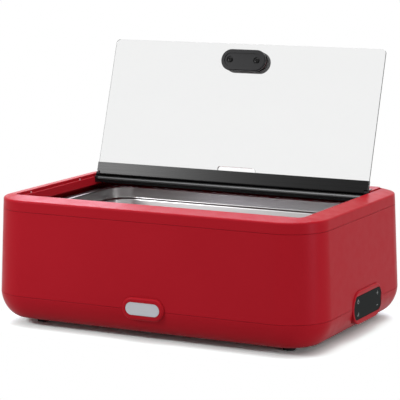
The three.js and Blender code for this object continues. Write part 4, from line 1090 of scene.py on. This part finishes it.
def lid_outline():
    """Outline of the lid's glass below the hinge axis, with the notch in its hinge edge."""
    half = LID_WIDTH / 2
    left, right = NOTCH_CENTRE - NOTCH_HALF, NOTCH_CENTRE + NOTCH_HALF
    top = -PROFILE_HEIGHT - NOTCH_RISE
    rounded_corners = [
        (-half, -GLASS_EDGE, 0),
        (-half, -LID_REACH, GLASS_CORNER),
        (half, -LID_REACH, GLASS_CORNER),
        (half, -GLASS_EDGE, 0),
        (right, -GLASS_EDGE, 0),
        (right, top, 6.0),
        (left, top, 4.0),
        (left, -GLASS_EDGE, 0),
    ]
    points = [(x, y) for x, y, _ in rounded_corners]
    return fillet(points, [radius for _, _, radius in rounded_corners], 8)


def make_lid_glass():
    hole_radius = 4.0
    holes = [circle(side * HANDLE_SCREW_X, -HANDLE_REACH, hole_radius, 28) for side in (-1, 1)]
    mesh = slab("lid_glass_mesh", [lid_outline(), *holes], GLASS, 0.6, 3)
    add_piece("pane_lid", mesh, "clear_glass", "lid", "lid_glass", place=lid_place() @ moved(z=-GLASS / 2))


def make_grip(place):
    """Waisted grip outside the glass."""
    base = GLASS / 2 + WASHER + CLEARANCE
    height, round_off, hole_depth = 17.0, 2.6, 20.0
    waist, waist_start, waist_height = 3.5, 1.6, 11.0
    foot = ((0.8, 0.0), (0.2, 0.3), (0, 0.9))
    sections = [shrunk(HANDLE_SIZE, inset, base + rise) for inset, rise in foot]
    for share in (0.0, 0.25, 0.5, 0.75, 1.0):
        inset = waist * math.sin(math.pi * share) ** 1.4 if 0 < share < 1 else 0.0
        sections.append(shrunk(HANDLE_SIZE, inset, base + waist_start + share * waist_height))
    sections += rounded_edge(HANDLE_SIZE, base + height, round_off, round_off, 90, 6)
    mesh = skin("grip_mesh", sections)
    holes = []
    for side in (-1, 1):
        hole = circle(side * HANDLE_SCREW_X, 0, HANDLE_HOLE, 20)
        holes.append(cutter(hole, hole_depth, moved(z=base - hole_depth / 2)))
    add_piece("grip_outer", cut(mesh, holes), "black_plastic", "lid", "handle_grip", place=place)


def make_handle_plate(place):
    """Plate inside the glass, with a shallow pocket and sunk screws."""
    edge, round_off = 0.4, 2.2
    sections = [shrunk(HANDLE_SIZE, edge, HANDLE_PLATE_TOP), shrunk(HANDLE_SIZE, 0, HANDLE_PLATE_TOP - edge)]
    sections += rounded_edge(HANDLE_SIZE, HANDLE_PLATE_FACE, round_off, -round_off, 90, 6)
    mesh = skin("plate_mesh", sections)
    sink_radius, hole_depth, hole_low = 6.5, 20.0, 5.0
    pocket_size, pocket_depth = (37.0, 12.5, 12.5), 1.2

    def sunk(outline, depth):
        block = 12.0
        return cutter(outline, block, moved(z=HANDLE_PLATE_FACE + depth - block))

    cutters = []
    for side in (-1, 1):
        x = side * HANDLE_SCREW_X
        cutters.append(sunk(circle(x, 0, sink_radius, 32), HANDLE_SINK))
        hole = circle(x, 0, HANDLE_HOLE, 20)
        cutters.append(cutter(hole, hole_depth, moved(z=HANDLE_PLATE_FACE - hole_low)))
    cutters.append(sunk(rounded_outline(*pocket_size), pocket_depth))
    add_piece("plate_inner", cut(mesh, cutters), "black_plastic", "lid", "handle_plate", place=place)


def make_handle_screws(place):
    head_height = HANDLE_SCREW[1]
    head = HANDLE_PLATE_FACE + HANDLE_SINK - CLEARANCE - head_height
    for i, side in enumerate((-1, 1)):
        spot = place @ moved(side * HANDLE_SCREW_X, 0, head)
        cross_head("handle_screw_mesh", HANDLE_SCREW, spot, f"handle_screw_{i + 1}", "lid", "black_metal")


def make_handle():
    place = lid_place() @ moved(0, -HANDLE_REACH)
    make_grip(place)
    make_handle_plate(place)
    make_handle_screws(place)


# Pieces without a finer mesh

def dress_frame_nodes():
    """Gives the nodes that keep their CAD mesh their slot's finish."""
    slots = {part["node"]: part["material_slot"] for part in frame["record"]["subparts"]}
    for name, node in frame["nodes"].items():
        for material_slot in node.material_slots:
            material_slot.material = MATERIALS[slots[name]]


# Studio

def maths(tree, operation, first, second):
    node = add_node(tree, "ShaderNodeMath", operation=operation)
    tree.links.new(first, node.inputs[0])
    tree.links.new(second, node.inputs[1])
    return node.outputs[0]


def background_rays(tree):
    """1 for the rays that show the background: seen directly, in a reflection or through glass."""
    rays = tree.nodes.new("ShaderNodeLightPath").outputs
    seen = maths(tree, "MAXIMUM", rays["Is Camera Ray"], rays["Is Transmission Ray"])
    return maths(tree, "MAXIMUM", seen, rays["Is Glossy Ray"])


def vector_maths(tree, operation, source, other=(0.0, 0.0, 0.0)):
    node = add_node(tree, "ShaderNodeVectorMath", operation=operation)
    node.inputs[1].default_value = other
    tree.links.new(source, node.inputs[0])
    return node


def outside_footprint(tree):
    """How far a point of the floor lies outside the housing's rounded outline, in metres."""
    place = tree.nodes.new("ShaderNodeTexCoord").outputs["Object"]
    straight = ((HALF_LENGTH - CORNER) * MM, (HALF_DEPTH - CORNER) * MM, 0.0)
    size = vector_maths(tree, "ABSOLUTE", place)
    beyond = vector_maths(tree, "SUBTRACT", size.outputs["Vector"], straight)
    clamped = vector_maths(tree, "MAXIMUM", beyond.outputs["Vector"])
    return vector_maths(tree, "LENGTH", clamped.outputs["Vector"]).outputs["Value"]


def white_floor():
    """Pale floor that takes the object's shadow near it and is plain white further out."""
    material, tree, shader = new_material("floor_white")
    path = tree.nodes.new("ShaderNodeLightPath")
    seen = background_rays(tree)
    mirrored = colour_mix(tree, seen, FLOOR_BOUNCE, FLOOR_MIRRORED)
    direct = add_node(tree, "ShaderNodeMix", data_type="RGBA")
    direct.inputs[7].default_value = (*FLOOR_SEEN, 1.0)
    tree.links.new(path.outputs["Is Camera Ray"], direct.inputs[0])
    tree.links.new(mirrored, direct.inputs[6])
    tree.links.new(direct.outputs[2], shader.inputs["Base Color"])
    shader.inputs["Roughness"].default_value = 0.9
    shader.inputs["Specular IOR Level"].default_value = 0.1
    fade = add_node(tree, "ShaderNodeMapRange", interpolation_type="SMOOTHSTEP")
    fade.inputs["From Min"].default_value = CORNER * MM + FLOOR_FADE_START
    fade.inputs["From Max"].default_value = CORNER * MM + FLOOR_FADE_END
    tree.links.new(outside_footprint(tree), fade.inputs["Value"])
    share = maths(tree, "MULTIPLY", fade.outputs["Result"], seen)
    glow = tree.nodes.new("ShaderNodeEmission")
    blend = tree.nodes.new("ShaderNodeMixShader")
    tree.links.new(share, blend.inputs[0])
    tree.links.new(shader.outputs["BSDF"], blend.inputs[1])
    tree.links.new(glow.outputs["Emission"], blend.inputs[2])
    tree.links.new(blend.outputs["Shader"], tree.nodes["Material Output"].inputs["Surface"])
    return material


def make_floor():
    mesh = bpy.data.meshes.new("floor")
    work = bmesh.new()
    corners = [(-1, -1), (1, -1), (1, 1), (-1, 1)]
    work.faces.new([work.verts.new((x * FLOOR_REACH, y * FLOOR_REACH, 0)) for x, y in corners])
    work.to_mesh(mesh)
    work.free()
    mesh.materials.append(white_floor())
    floor = new_object("floor", mesh)


def make_world():
    """White where it is seen, in a reflection or through glass too; a soft fill for everything else."""
    world = bpy.data.worlds.new("studio")
    world.use_nodes = True
    tree = world.node_tree
    background = tree.nodes["Background"]
    background.inputs["Color"].default_value = (1.0, 1.0, 1.0, 1.0)
    level = ramp(tree, background_rays(tree), STUDIO_FILL, 1.0, 0.0, 1.0)
    tree.links.new(level, background.inputs["Strength"])
    bpy.context.scene.world = world


def area_light(name, place, target, size, power):
    """Rectangular lamp of the given width and height that faces its target."""
    lamp = bpy.data.lights.new(name, "AREA")
    lamp.shape = "RECTANGLE"
    lamp.size, lamp.size_y = size
    lamp.energy = power
    holder = new_object(name, lamp)
    holder.location = place
    direction = Vector(target) - Vector(place)
    holder.rotation_euler = direction.to_track_quat("-Z", "Y").to_euler()
    return holder


def spare_glass(lamp):
    """Keeps a lamp's mirror image out of the clear panes."""
    panes = bpy.data.collections.new(lamp.name + "_spares")
    for thing in bpy.context.scene.objects:
        if thing.type == "MESH" and thing.active_material == MATERIALS["clear_glass"]:
            panes.objects.link(thing)
    lamp.light_linking.receiver_collection = panes
    for entry in panes.collection_objects:
        entry.light_linking.link_state = "EXCLUDE"


def make_lights():
    """Broad lamp overhead, small ones to the left and right, and a broad one behind."""
    area_light("overhead", (0.0, 0.0, 2.6), (0.0, 0.0, 0.1), (2.6, 2.2), OVERHEAD_WATTS)
    left = area_light("left", (-1.29, -1.47, 1.06), (0.0, 0.05, 0.24), (0.30, 0.36), LEFT_WATTS)
    spare_glass(left)
    area_light("right", (2.35, -0.34, 0.30), (0.28, -0.17, 0.14), (0.55, 0.55), RIGHT_WATTS)
    rear = area_light("rear", (-1.25, 2.2, 1.85), (0.0, -0.1, 0.2), (1.7, 1.7), REAR_WATTS)
    rear.data.color = REAR_TINT
    spare_glass(rear)


def make_camera():
    camera = bpy.data.cameras.new("camera")
    camera.sensor_width = SENSOR
    camera.lens = LENS_PIXELS / IMAGE_PIXELS * SENSOR
    camera.clip_start = NEAREST_SEEN
    camera.clip_end = FURTHEST_SEEN
    holder = new_object("camera", camera)
    back = -CAMERA_FORWARD.normalized()
    right = CAMERA_RIGHT.normalized()
    up = back.cross(right).normalized()
    right = up.cross(back).normalized()
    rotation = Matrix((right, up, back)).transposed()
    holder.matrix_world = Matrix.Translation(CAMERA_PLACE) @ rotation.to_4x4()
    bpy.context.scene.camera = holder


dress_frame_nodes()
make_top_frame()
make_body_shell()
make_base_shell()
make_feet()
make_housing_screws()
make_badge()
make_control_panel()
make_inlet()
make_food_pan()
make_hinge_bar()
make_bar_painted_highlight()
make_rear_pane()
make_lid_profile()
make_lid_glass()
make_handle()
make_floor()
make_world()
make_lights()
make_camera()
bpy.context.scene.view_settings.view_transform = "Standard"

bpy.context.view_layer.update()
